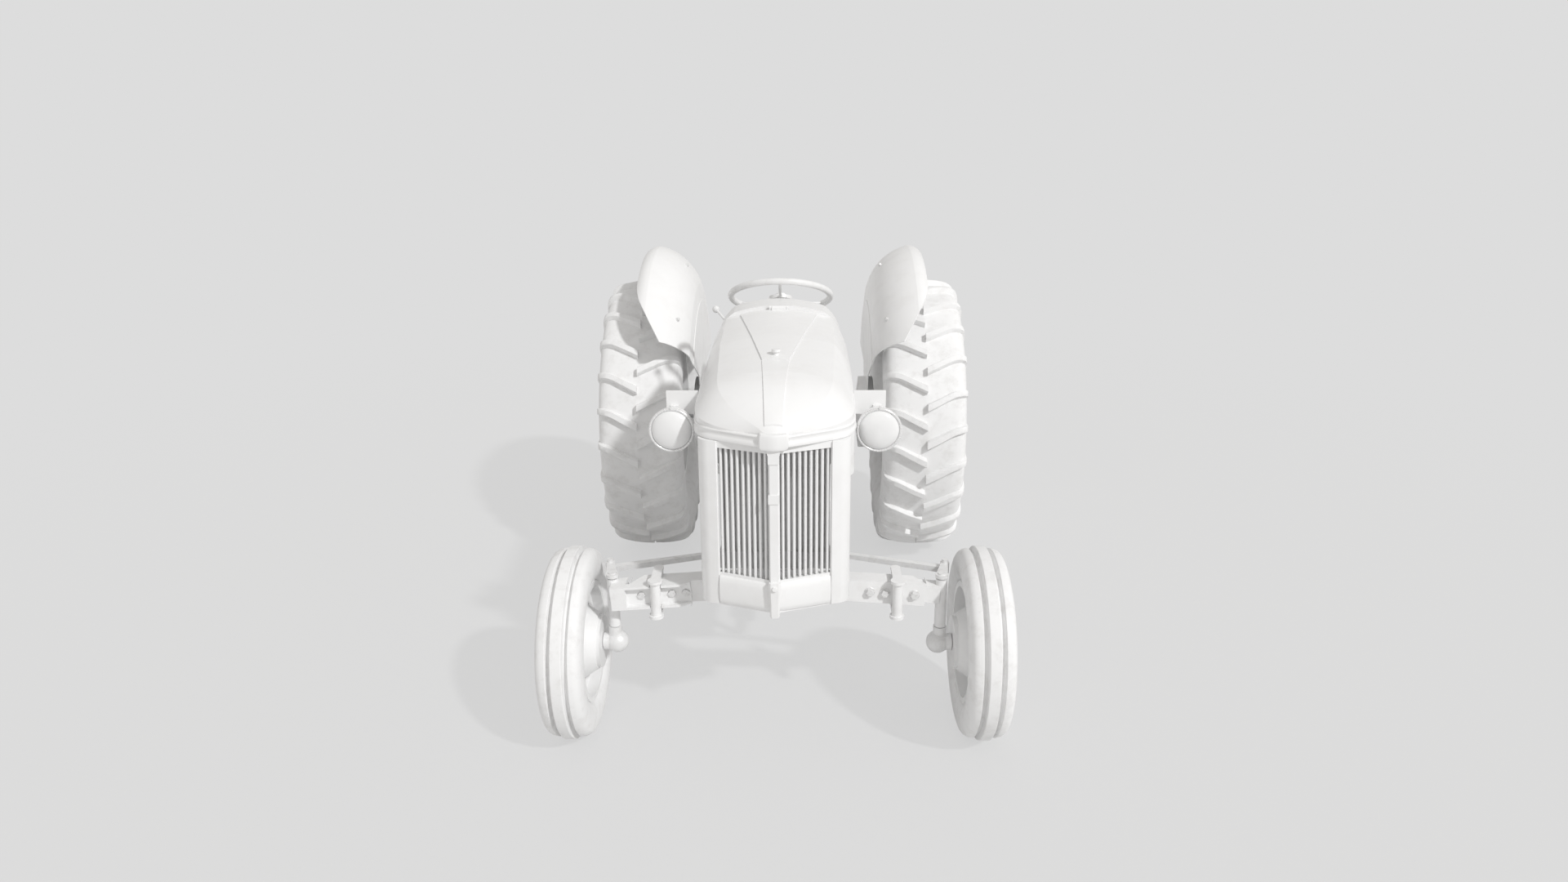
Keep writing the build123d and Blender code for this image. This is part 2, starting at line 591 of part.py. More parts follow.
with BuildPart() as axle_arms:
    with BuildSketch(beam_plane(1, ARM_START_LEFT)):
        with BuildLine():
            Polyline(*channel(-AXLE_DEPTH / 2 + BEAM_WALL + SEAT_GAP, AXLE_DEPTH / 2 - 6,
                              BEAM_HALF_H - BEAM_WALL - SEAT_GAP, ARM_WALL), close=True)
        make_face()
    extrude(amount=(KINGPIN_X - 8 - ARM_START_LEFT) / cos(radians(BEAM_ANGLE)))
    with BuildSketch(cross_plane(-AXLE_DEPTH)):
        for hole in HOLES_LEFT:
            with Locations((hole, beam_middle(hole))):
                Circle(HOLE_R)
    extrude(amount=-2 * AXLE_DEPTH, mode=Mode.SUBTRACT)
    with BuildSketch(Plane.XY.offset(TUBE_BASE)):
        with Locations((KINGPIN_X, FRONT_AXLE_Y)):
            Circle(TUBE_R)
    extrude(amount=TUBE_TOP - TUBE_BASE)
    with BuildSketch(Plane.XY.offset(TUBE_BASE)):
        with Locations((KINGPIN_X, FRONT_AXLE_Y)):
            Circle(KINGPIN_R + RUNNING)
    extrude(amount=TUBE_TOP - TUBE_BASE, mode=Mode.SUBTRACT)
    with BuildSketch(beam_plane(-1, ARM_START_RIGHT)):
        with BuildLine():
            Polyline(*channel(-AXLE_DEPTH / 2 - SEAT_GAP, -AXLE_DEPTH / 2 - SEAT_GAP - ARM_LIP,
                              BEAM_HALF_H + 2, ARM_WALL), close=True)
        make_face()
    extrude(amount=(KINGPIN_X - 20 - ARM_START_RIGHT) / cos(radians(BEAM_ANGLE)))
    with BuildSketch(beam_plane(-1, BEAM_END_RIGHT + 14)):
        with Locations(((TUBE_R - AXLE_DEPTH / 2 - SEAT_GAP - ARM_LIP) / 2, 0)):
            Rectangle(TUBE_R + AXLE_DEPTH / 2 + SEAT_GAP + ARM_LIP, 2 * (BEAM_HALF_H + 2))
    extrude(amount=KINGPIN_X - BEAM_END_RIGHT - 16)
    # slanted inner end, notch round the radius rod's boss, and the row of holes
    with BuildSketch(Plane.XY.offset(PIVOT_Z + 60)):
        with BuildLine():
            Polyline((-ARM_START_RIGHT + 2, along(-AXLE_DEPTH / 2 - SEAT_GAP - ARM_WALL)),
                     (-ARM_START_RIGHT + 2, along(-AXLE_DEPTH)),
                     (-ARM_START_RIGHT - 40, along(-AXLE_DEPTH)), close=True)
        make_face()
        with Locations((-BOSS_X, along(BOSS_Y))):
            Circle(BOSS_R + 2)
            with Locations((0, -BOSS_R)):
                Rectangle(2 * BOSS_R + 4, 2 * BOSS_R)
    extrude(amount=-160, mode=Mode.SUBTRACT)
    with BuildSketch(cross_plane(-AXLE_DEPTH)):
        for hole in HOLES_RIGHT:
            with Locations((-hole, beam_middle(hole))):
                Circle(HOLE_R)
    extrude(amount=-2 * AXLE_DEPTH, mode=Mode.SUBTRACT)
    with BuildSketch(Plane.XY.offset(TUBE_BASE)):
        with Locations((-KINGPIN_X, FRONT_AXLE_Y)):
            Circle(TUBE_R)
    extrude(amount=TUBE_TOP - TUBE_BASE)
    with BuildSketch(Plane.XY.offset(TUBE_BASE)):
        with Locations((-KINGPIN_X, FRONT_AXLE_Y)):
            Circle(KINGPIN_R + RUNNING)
    extrude(amount=TUBE_TOP - TUBE_BASE, mode=Mode.SUBTRACT)
finish(axle_arms, "axle_arms")

# Axle clamps: an upright boss before the beam, a round bar behind it, and straps that join them
CLAMP_BAR_R = 15
STRAP_T = 10
STRAP_HALF_W = 16
BOSS_BASE = 462
BOSS_TOP = 603
CLAMP_BAR_Y = AXLE_DEPTH / 2 + SEAT_GAP + CLAMP_BAR_R

with BuildPart() as axle_clamps:
    for side, sign in SIDES:
        with BuildSketch(Plane.XY.offset(BOSS_BASE)):
            with Locations((sign * BOSS_X, along(BOSS_Y))):
                Circle(BOSS_R)
            with Locations((sign * BOSS_X, along(CLAMP_BAR_Y))):
                Circle(CLAMP_BAR_R)
        extrude(amount=BOSS_TOP - BOSS_BASE)
        for base in (BOSS_BASE, BOSS_TOP - STRAP_T):
            with BuildSketch(Plane.XY.offset(base)):
                with Locations((sign * BOSS_X, along(BOSS_Y))):
                    Circle(BOSS_COLLAR_R)
                with Locations((sign * BOSS_X, along((BOSS_Y + CLAMP_BAR_Y) / 2))):
                    Rectangle(2 * STRAP_HALF_W, CLAMP_BAR_Y - BOSS_Y)
                with Locations((sign * BOSS_X, along(CLAMP_BAR_Y))):
                    Circle(STRAP_HALF_W + 1)
            extrude(amount=STRAP_T)
        # pad that bears on the front of the beam, or of the arm that covers it
        pad_face = -AXLE_DEPTH / 2 - SEAT_GAP - (ARM_WALL + SEAT_GAP if sign < 0 else 0)
        with BuildSketch(Plane.XY.offset(beam_middle(BOSS_X) - STRAP_HALF_W)):
            with Locations((sign * BOSS_X, along((BOSS_Y + pad_face) / 2))):
                Rectangle(2 * STRAP_HALF_W, pad_face - BOSS_Y)
        extrude(amount=2 * STRAP_HALF_W)
finish(axle_clamps, "axle_clamps")

# Knuckles: kingpin, ball below it, stub axle, and the steering arm on top
SPINDLE_Z = FRONT_TYRE_R
BALL_R = 40
BALL_X = KINGPIN_X - 6
STUB_R = 30
SPINDLE_R = 19
HUB_FACE_X = KINGPIN_X + 44
SPINDLE_END_X = FRONT_TRACK / 2 + 55
ARM_BASE = TUBE_TOP + 6
ARM_T = 12
ARM_OFFSET = (22, 98)
EYE_R = 16
EYE_PIN_R = 8
OUTER_EYE_H = 28
INNER_EYE_H = 22
EYE_GAP = 0.5
NUT_R = 11
NUT_H = 8
TOP_NUT_H = 12
ROD_OUTER_Z = ARM_BASE - EYE_GAP - OUTER_EYE_H / 2

for side, sign in SIDES:
    pin_x = sign * (KINGPIN_X + ARM_OFFSET[0])
    pin_y = FRONT_AXLE_Y + ARM_OFFSET[1]
    with BuildPart() as knuckle:
        with BuildSketch(Plane.XY.offset(SPINDLE_Z)):
            with Locations((sign * KINGPIN_X, FRONT_AXLE_Y)):
                Circle(KINGPIN_R)
        extrude(amount=ARM_BASE + ARM_T + 4 - SPINDLE_Z)
        with BuildSketch(Plane.XY.offset(SPINDLE_Z)):
            with Locations((sign * KINGPIN_X, FRONT_AXLE_Y)):
                Circle(TUBE_R + 3)
        extrude(amount=TUBE_BASE - 2 - SPINDLE_Z)
        with Locations((sign * BALL_X, FRONT_AXLE_Y, SPINDLE_Z)):
            Sphere(BALL_R)
        with BuildSketch(side_plane(sign * BALL_X)):
            with Locations((FRONT_AXLE_Y, SPINDLE_Z)):
                Circle(STUB_R)
        extrude(amount=sign * (HUB_FACE_X - 2 - BALL_X))
        with BuildSketch(side_plane(sign * BALL_X)):
            with Locations((FRONT_AXLE_Y, SPINDLE_Z)):
                Circle(SPINDLE_R)
        extrude(amount=sign * (SPINDLE_END_X - BALL_X))
        # steering arm that points back and slightly outward, with the track rod's pin below it
        with BuildSketch(Plane.XY.offset(ARM_BASE)):
            with BuildLine():
                Polyline((sign * (KINGPIN_X - 20), FRONT_AXLE_Y), (sign * (KINGPIN_X + 20), FRONT_AXLE_Y),
                         (pin_x + sign * 13, pin_y), (pin_x - sign * 13, pin_y), close=True)
            make_face()
            with Locations((sign * KINGPIN_X, FRONT_AXLE_Y)):
                Circle(22)
            with Locations((pin_x, pin_y)):
                Circle(EYE_R)
        extrude(amount=ARM_T)
        with BuildSketch(Plane.XY.offset(ARM_BASE)):
            with Locations((pin_x, pin_y)):
                Circle(EYE_PIN_R)
        extrude(amount=-2 * EYE_GAP - OUTER_EYE_H)
        with BuildSketch(Plane.XY.offset(ARM_BASE - 2 * EYE_GAP - OUTER_EYE_H)):
            with Locations((pin_x, pin_y)):
                Circle(NUT_R)
        extrude(amount=-NUT_H)
        with BuildSketch(Plane.XY.offset(ARM_BASE + ARM_T)):
            with Locations((pin_x, pin_y)):
                Circle(NUT_R)
        extrude(amount=TOP_NUT_H)
    finish(knuckle, f"knuckle_{side}")

# Steering relay: a shaft through the front support, with two arms below it and a side arm above
RELAY_T = 12
RELAY_HUB_R = 26
RELAY_CLEAR = 5
RELAY_SIDE_ARM = 130
RELAY_BASE = SUPPORT_TOP - SUPPORT_T - RELAY_CLEAR - INNER_EYE_H - EYE_GAP - RELAY_T
SIDE_ARM_BASE = SUPPORT_TOP + RELAY_CLEAR
ROD_INNER_Z = RELAY_BASE + RELAY_T + EYE_GAP + INNER_EYE_H / 2
with BuildPart() as relay:
    with BuildSketch(Plane.XY.offset(RELAY_BASE)):
        with Locations((0, along(RELAY_BEHIND))):
            Circle(RELAY_HUB_R)
        with BuildLine():
            Polyline((-RELAY_HUB_R, along(RELAY_BEHIND)), (RELAY_HUB_R, along(RELAY_BEHIND)),
                     (ARM_OFFSET[0] + 12, along(RELAY_BEHIND + ARM_OFFSET[1])),
                     (-ARM_OFFSET[0] - 12, along(RELAY_BEHIND + ARM_OFFSET[1])), close=True)
        make_face()
        for flank in (-1, 1):
            with Locations((flank * ARM_OFFSET[0], along(RELAY_BEHIND + ARM_OFFSET[1]))):
                Circle(EYE_R)
    extrude(amount=RELAY_T)
    with BuildSketch(Plane.XY.offset(RELAY_BASE)):
        for flank in (-1, 1):
            with Locations((flank * ARM_OFFSET[0], along(RELAY_BEHIND + ARM_OFFSET[1]))):
                Circle(EYE_PIN_R)
    extrude(amount=RELAY_T + EYE_GAP + INNER_EYE_H)
    with BuildSketch(Plane.XY.offset(RELAY_BASE)):
        with Locations((0, along(RELAY_BEHIND))):
            Circle(RELAY_SHAFT_R)
    extrude(amount=SIDE_ARM_BASE + RELAY_T + NUT_H - RELAY_BASE)
    with BuildSketch(Plane.XY.offset(SIDE_ARM_BASE)):
        with Locations((0, along(RELAY_BEHIND))):
            Circle(RELAY_HUB_R)
        with BuildLine():
            Polyline((0, along(RELAY_BEHIND - 22)), (0, along(RELAY_BEHIND + 22)),
                     (-RELAY_SIDE_ARM, along(RELAY_BEHIND + 13)),
                     (-RELAY_SIDE_ARM, along(RELAY_BEHIND - 13)), close=True)
        make_face()
        with Locations((-RELAY_SIDE_ARM, along(RELAY_BEHIND))):
            Circle(EYE_R)
    extrude(amount=RELAY_T)
    with BuildSketch(Plane.XY.offset(SIDE_ARM_BASE)):
        with Locations((-RELAY_SIDE_ARM, along(RELAY_BEHIND))):
            Circle(NUT_R)
    extrude(amount=-NUT_H / 2)
finish(relay, "steering_relay")

# Track rods: tapered forged bars with an upright eye at each end
BAR_OUTER = (27, 20)
BAR_INNER = (18, 16)
for side, sign in SIDES:
    outer = Vector(sign * (KINGPIN_X + ARM_OFFSET[0]), along(ARM_OFFSET[1]), ROD_OUTER_Z)
    inner = Vector(sign * ARM_OFFSET[0], along(RELAY_BEHIND + ARM_OFFSET[1]), ROD_INNER_Z)
    run = (inner - outer).normalized()
    level = run.cross(Vector(0, 0, 1))
    with BuildPart() as track_rod:
        with BuildSketch(Plane(origin=outer + run * 9, x_dir=level, z_dir=run)):
            Rectangle(*BAR_OUTER)
        with BuildSketch(Plane(origin=inner - run * 9, x_dir=level, z_dir=run)):
            Rectangle(*BAR_INNER)
        loft()
        for eye, height in ((outer, OUTER_EYE_H), (inner, INNER_EYE_H)):
            with BuildSketch(Plane.XY.offset(eye.Z - height / 2)):
                with Locations((eye.X, eye.Y)):
                    Circle(EYE_R)
            extrude(amount=height)
        for eye, height, gap in ((outer, OUTER_EYE_H, RUNNING), (inner, INNER_EYE_H, OPEN_PIN)):
            with BuildSketch(Plane.XY.offset(eye.Z - height / 2)):
                with Locations((eye.X, eye.Y)):
                    Circle(EYE_PIN_R + gap)
            extrude(amount=height, mode=Mode.SUBTRACT)
    finish(track_rod, f"track_rod_{side}")

# Steering box on the bell housing, with its column, and the pitman arm on its side
HUB_BEHIND = 1040
HUB_Z = 1380
COLUMN_R = 19
COLUMN_SUNK = 41
BOX_BASE = BELL_TOP + 6
BOX_BEHIND = BELL_START + 50
BOX_H = 86
COLUMN_FOOT_Z = BOX_BASE + 121
SECTOR_Z = BOX_BASE + 22
SECTOR_R = 16
PITMAN_X = -190
PITMAN_T = 12
PITMAN_LOW_Z = 650
hub_centre = Vector(0, along(HUB_BEHIND), HUB_Z)
column_foot = Vector(0, along(BOX_BEHIND), COLUMN_FOOT_Z)
column_axis = (hub_centre - column_foot).normalized()
HUB_DROP = 26

with BuildPart() as steering_column:
    with BuildSketch(Plane.XY.offset(BOX_BASE)):
        with Locations((0, along(BOX_BEHIND))):
            RectangleRounded(200, 92, 20)
    extrude(amount=16)
    with BuildSketch(Plane.XY.offset(BOX_BASE + 15)):
        with Locations((0, along(BOX_BEHIND))):
            RectangleRounded(120, 86, 26)
    extrude(amount=BOX_H, taper=6)
    with BuildSketch(side_plane(0)):
        with Locations((along(BOX_BEHIND), SECTOR_Z + 22)):
            Circle(32)
    extrude(amount=-120)
    with BuildSketch(side_plane(0)):
        with Locations((along(BOX_BEHIND), SECTOR_Z)):
            Circle(SECTOR_R)
    extrude(amount=PITMAN_X - PITMAN_T)
    column_start = column_foot - column_axis * COLUMN_SUNK
    with BuildSketch(Plane(origin=column_start, z_dir=column_axis)):
        Circle(COLUMN_R)
    extrude(amount=(hub_centre - column_start).length - HUB_DROP - 12)
    with BuildSketch(Plane(origin=column_start, z_dir=column_axis)):
        Circle(9)
    extrude(amount=(hub_centre - column_start).length - HUB_DROP + 6)
finish(steering_column, "steering_column")

with BuildPart() as pitman_arm:
    with BuildSketch(side_plane(PITMAN_X - PITMAN_T / 2)):
        with BuildLine():
            Polyline((along(BOX_BEHIND) - 22, SECTOR_Z), (along(BOX_BEHIND) + 22, SECTOR_Z),
                     (along(BOX_BEHIND) + 13, PITMAN_LOW_Z), (along(BOX_BEHIND) - 13, PITMAN_LOW_Z),
                     close=True)
        make_face()
        with Locations((along(BOX_BEHIND), SECTOR_Z)):
            Circle(28)
        with Locations((along(BOX_BEHIND), PITMAN_LOW_Z)):
            Circle(EYE_R)
        with Locations((along(BOX_BEHIND), SECTOR_Z)):
            Circle(SECTOR_R + RUNNING, mode=Mode.SUBTRACT)
    extrude(amount=PITMAN_T)
    with BuildSketch(side_plane(PITMAN_X)):
        with Locations((along(BOX_BEHIND), PITMAN_LOW_Z)):
            Circle(EYE_PIN_R)
    extrude(amount=-PITMAN_T / 2 - 26)
finish(pitman_arm, "pitman_arm")

# Drag link from the pitman arm forward to the top of the relay's side arm
LINK_R = 9
DRAG_EYE_T = 24
drag_back = Vector(PITMAN_X - PITMAN_T / 2 - EYE_GAP - DRAG_EYE_T / 2, along(BOX_BEHIND), PITMAN_LOW_Z)
drag_front = Vector(-RELAY_SIDE_ARM, along(RELAY_BEHIND),
                    SIDE_ARM_BASE + RELAY_T + EYE_GAP + DRAG_EYE_T / 2)
with BuildPart() as drag_link:
    with BuildSketch(rod_plane(drag_back, drag_front)):
        Circle(LINK_R)
    extrude(amount=rod_length(drag_back, drag_front))
    with BuildSketch(side_plane(drag_back.X - DRAG_EYE_T / 2)):
        with Locations((drag_back.Y, drag_back.Z)):
            Circle(EYE_R)
    extrude(amount=DRAG_EYE_T)
    with BuildSketch(side_plane(drag_back.X - DRAG_EYE_T / 2 - 20)):
        with Locations((drag_back.Y, drag_back.Z)):
            Circle(EYE_PIN_R + RUNNING)
    extrude(amount=DRAG_EYE_T + 40, mode=Mode.SUBTRACT)
    with BuildSketch(Plane.XY.offset(drag_front.Z - DRAG_EYE_T / 2)):
        with Locations((drag_front.X, drag_front.Y)):
            Circle(EYE_R)
    extrude(amount=DRAG_EYE_T)
finish(drag_link, "drag_link")

# Steering wheel: round rim on three bent rods and a domed hub
WHEEL_R = 206.5
WHEEL_RIM_R = 13.5
WHEEL_HUB_R = 49
SPOKE_R = 6
SPOKE_DROP = 16
wheel_plane = Plane(origin=hub_centre, x_dir=(1, 0, 0), z_dir=column_axis)
with BuildPart() as steering_wheel:
    with BuildSketch(Plane(origin=hub_centre, x_dir=(1, 0, 0), z_dir=wheel_plane.y_dir * -1)):
        with Locations((WHEEL_R, 0)):
            Circle(WHEEL_RIM_R)
    revolve(axis=Axis(hub_centre, column_axis))
    with BuildSketch(wheel_plane.offset(-HUB_DROP + 8)):
        Circle(WHEEL_HUB_R)
    extrude(amount=14)
    with BuildSketch(wheel_plane.offset(-HUB_DROP + 9)):
        Circle(24)
    extrude(amount=-13)
    with BuildSketch(wheel_plane.offset(-HUB_DROP + 20)):
        Circle(22)
    extrude(amount=16, taper=8)
    with BuildSketch(wheel_plane.offset(-HUB_DROP - 8)):
        Circle(9 + RUNNING)
    extrude(amount=14 + RUNNING, mode=Mode.SUBTRACT)
    for number in range(3):
        turn = radians(30 + 120 * number)
        reach = Vector(cos(turn), sin(turn), 0)
        bend = wheel_plane.from_local_coords(reach * 95 + Vector(0, 0, -SPOKE_DROP))
        spoke_in = wheel_plane.from_local_coords(reach * 30 + Vector(0, 0, -SPOKE_DROP + 3))
        spoke_out = wheel_plane.from_local_coords(reach * (WHEEL_R - 4))
        for start, end in ((spoke_in, bend), (bend, spoke_out)):
            with BuildSketch(rod_plane(start, end)):
                Circle(SPOKE_R)
            extrude(amount=rod_length(start, end))
        with Locations(bend):
            Sphere(SPOKE_R)
finish(steering_wheel, "steering_wheel")

# Tyres are flat-sided rings, so that ribs and lugs stay light
FRONT_TYRE_SIDES = 28
REAR_TYRE_SIDES = 24


def tyre_ring(casing, bore, sides):
    """Ring about the X axis: one flat sector of a profile, repeated. The profile is listed from
    bead to crown, as distances outward from the middle and radii."""
    half = radians(180 / sides)
    outline = [(far, radius * cos(half)) for far, radius in casing]
    bead = casing[0][0]
    with BuildPart() as sector:
        with BuildSketch(Plane(origin=(0, 0, 0), x_dir=(1, 0, 0), z_dir=(0, -1, 0))):
            with BuildLine():
                Polyline(*[(-far, high) for far, high in outline], *reversed(outline),
                         (bead, bore), (-bead, bore), close=True)
            make_face()
        extrude(amount=casing[-1][1] * sin(half) + 1, both=True)
        for flank in (-1, 1):
            split(bisect_by=Plane(origin=(0, 0, 0), x_dir=(1, 0, 0),
                                  z_dir=(0, flank * cos(half), sin(half))), keep=Keep.TOP)
    with BuildPart() as whole:
        add([sector.part.rotate(Axis.X, 360 / sides * (number + 0.5)) for number in range(sides)])
    return whole.part


# Front wheels: ribbed tyre, rim, dished disc and hub turned about the stub axle
RIM_WALL = 6
FRONT_BEAD = 60
HUB_FLANGE_R = 92
# columns: distance outward from the middle, radius
FRONT_CASING = ((FRONT_BEAD, FRONT_RIM_R + 16), (FRONT_TYRE_W / 2, FRONT_TYRE_R - 70),
                (FRONT_TYRE_W / 2 - 13, FRONT_TYRE_R - 16), (40, FRONT_TYRE_R - 6),
                (33, FRONT_TYRE_R - 22), (25, FRONT_TYRE_R))
front_ring = tyre_ring(FRONT_CASING, FRONT_RIM_R, FRONT_TYRE_SIDES)

for side, sign in SIDES:
    wheel_centre = (sign * FRONT_TRACK / 2, FRONT_AXLE_Y, FRONT_TYRE_R)
    wheel_axis = Axis(wheel_centre, (1, 0, 0))
    wheel_section = Plane(origin=wheel_centre, x_dir=(sign, 0, 0), z_dir=(0, -sign, 0))
    with BuildPart() as front_tyre:
        with Locations(wheel_centre):
            add(front_ring)
    finish(front_tyre, f"front_tyre_{side}")

    hub_face = HUB_FACE_X - FRONT_TRACK / 2
    with BuildPart() as front_rim:
        with BuildSketch(wheel_section):
            with BuildLine():
                Polyline((-FRONT_BEAD - SEAT_GAP, FRONT_RIM_R + 13), (-FRONT_BEAD - 5, FRONT_RIM_R + 13),
                         (-FRONT_BEAD - 5, FRONT_RIM_R - RIM_WALL), (-26, FRONT_RIM_R - RIM_WALL),
                         (-18, FRONT_RIM_R - 30), (18, FRONT_RIM_R - 30), (26, FRONT_RIM_R - RIM_WALL),
                         (FRONT_BEAD + 5, FRONT_RIM_R - RIM_WALL), (FRONT_BEAD + 5, FRONT_RIM_R + 13),
                         (FRONT_BEAD + SEAT_GAP, FRONT_RIM_R + 13), (FRONT_BEAD + SEAT_GAP, FRONT_RIM_R - SEAT_GAP),
                         (22, FRONT_RIM_R - SEAT_GAP), (14, FRONT_RIM_R - 24), (-14, FRONT_RIM_R - 24),
                         (-22, FRONT_RIM_R - SEAT_GAP), (-FRONT_BEAD - SEAT_GAP, FRONT_RIM_R - SEAT_GAP),
                         close=True)
            make_face()
            # dished disc from the hub flange out to the drop centre of the rim
            with BuildLine():
                Polyline((hub_face + 14, 60), (hub_face + 14, 98), (-2, 150), (4, FRONT_RIM_R - 28),
                         (10, FRONT_RIM_R - 28), (4, 148), (hub_face + 21, 94), (hub_face + 21, 60),
                         close=True)
            make_face()
            # hub with its flange and cap
            with BuildLine():
                Polyline((hub_face, SPINDLE_R + RUNNING), (hub_face, HUB_FLANGE_R),
                         (hub_face + 14, HUB_FLANGE_R), (hub_face + 14, 40), (6, 34), (74, 30),
                         (74, 0), (68, 0), (68, SPINDLE_R + RUNNING), close=True)
            make_face()
        revolve(axis=wheel_axis)
    finish(front_rim, f"front_rim_{side}")

# Rear wheels: tyre with two staggered rows of lugs, rim and disc turned about the axle shaft
REAR_BEAD = 122
LUGS = 24
LUG_DEPTH = 28
LUG_WIDTH = 36
LUG_REACH = REAR_TYRE_W / 2 - 10
LUG_MID = 46
LUG_TOP = (REAR_TYRE_R ** 2 - LUG_MID ** 2) ** 0.5
# columns: distance outward from the middle, radius
REAR_CASING = ((REAR_BEAD, REAR_RIM_R + 26), (REAR_TYRE_W / 2 - 6, REAR_TYRE_R - 210),
               (REAR_TYRE_W / 2, REAR_TYRE_R - 130), (LUG_REACH, REAR_TYRE_R - 62),
               (50, REAR_TYRE_R - LUG_DEPTH - 1))
# columns: distance outward from the middle, rise of the lower edge up the tread, radius of the top
LUG_RUN = ((-3, -1, LUG_TOP), (122, 61, LUG_TOP - 9), (LUG_REACH, 73, LUG_TOP - 34))
LUG_FOOT = ((LUG_REACH - 4, LUG_TOP - 80), (150, LUG_TOP - 70), (-3, LUG_TOP - 46))
# columns: half of the tread, turn of its first lug in degrees above the line to the front
LUG_ROWS = ((1, 1.2), (-1, 8.7))


def lug(flank, turn):
    """One lug: its profile across the tyre, cut to its bent outline on the tread."""
    outward = Vector(0, -cos(turn), sin(turn))
    upward = Vector(0, sin(turn), cos(turn))
    with BuildPart() as bar:
        with BuildSketch(Plane(origin=(0, 0, 0), x_dir=(1, 0, 0), z_dir=-upward)):
            with BuildLine():
                Polyline(*[(flank * far, top) for far, rise, top in LUG_RUN],
                         *[(flank * far, foot) for far, foot in LUG_FOOT], close=True)
            make_face()
        extrude(amount=LUG_RUN[-1][1] + LUG_WIDTH, both=True)
        with BuildSketch(Plane(origin=(0, 0, 0), x_dir=upward, z_dir=outward)):
            with BuildLine():
                Polyline(*[(rise - LUG_MID, -flank * far) for far, rise, top in LUG_RUN],
                         *[(rise - LUG_MID + LUG_WIDTH, -flank * far)
                           for far, rise, top in reversed(LUG_RUN)], close=True)
            make_face()
        extrude(amount=REAR_TYRE_R, mode=Mode.INTERSECT)
    return bar.part


with BuildPart() as lugged_ring:
    add(tyre_ring(REAR_CASING, REAR_RIM_R, REAR_TYRE_SIDES))
    for flank, phase in LUG_ROWS:
        first = lug(flank, radians(phase) + LUG_MID / REAR_TYRE_R)
        add([first.rotate(Axis.X, 360 / LUGS * number) for number in range(LUGS)])

for side, sign in SIDES:
    wheel_centre = (sign * REAR_TRACK / 2, REAR_AXLE_Y, REAR_TYRE_R)
    wheel_axis = Axis(wheel_centre, (1, 0, 0))
    wheel_section = Plane(origin=wheel_centre, x_dir=(sign, 0, 0), z_dir=(0, -sign, 0))
    with BuildPart() as rear_tyre:
        with Locations(wheel_centre):
            add(lugged_ring.part)
    finish(rear_tyre, f"rear_tyre_{side}")

    face_x = WHEEL_FACE_X - REAR_TRACK / 2
    with BuildPart() as rear_rim:
        with BuildSketch(wheel_section):
            with BuildLine():
                Polyline((-REAR_BEAD - SEAT_GAP, REAR_RIM_R + 20), (-REAR_BEAD - 7, REAR_RIM_R + 20),
                         (-REAR_BEAD - 7, REAR_RIM_R - 9), (-60, REAR_RIM_R - 9), (-44, REAR_RIM_R - 44),
                         (44, REAR_RIM_R - 44), (60, REAR_RIM_R - 9), (REAR_BEAD + 7, REAR_RIM_R - 9),
                         (REAR_BEAD + 7, REAR_RIM_R + 20), (REAR_BEAD + SEAT_GAP, REAR_RIM_R + 20),
                         (REAR_BEAD + SEAT_GAP, REAR_RIM_R - SEAT_GAP), (54, REAR_RIM_R - SEAT_GAP),
                         (38, REAR_RIM_R - 36), (-38, REAR_RIM_R - 36), (-54, REAR_RIM_R - SEAT_GAP),
                         (-REAR_BEAD - SEAT_GAP, REAR_RIM_R - SEAT_GAP), close=True)
            make_face()
            with BuildLine():
                Polyline((face_x, 60), (face_x, 165), (-30, 214), (-4, REAR_RIM_R - 42),
                         (6, REAR_RIM_R - 42), (-20, 208), (face_x + 10, 158), (face_x + 10, 60),
                         close=True)
            make_face()
            with BuildLine():
                Polyline((face_x - 34, 0), (face_x - 34, 70), (face_x, 92), (face_x + 24, 92),
                         (face_x + 34, 66), (face_x + 78, 58), (face_x + 78, 0), close=True)
            make_face()
        revolve(axis=wheel_axis)
    finish(rear_rim, f"rear_rim_{side}")

# Hood: a bow-shaped shell, with a door in its top and a raised strip down to the nose
HOOD_BASE = 1145
HOOD_WALL = 4
HOOD_REAR = 720
# columns: behind, half width at base, half width at belt, belt z, shoulder half width, shoulder z, top z
HOOD_BODY = (
    (HOOD_REAR, 258, 262, 1240, 206, 1352, 1388),
    (360, 261, 266, 1231, 205, 1331, 1361),
    (0, 258, 263, 1216, 190, 1294, 1324),
)
HOOD_NOSE = (
    HOOD_BODY[-1],
    (-50, 256, 261, 1212, 184, 1287, 1314),
    (-100, 246, 251, 1206, 170, 1273, 1299),
    (-150, 214, 219, 1198, 142, 1252, 1275),
    (-200, 130, 134, 1186, 90, 1222, 1238),
    (-250, 32, 33, 1168, 24, 1186, 1191),
)


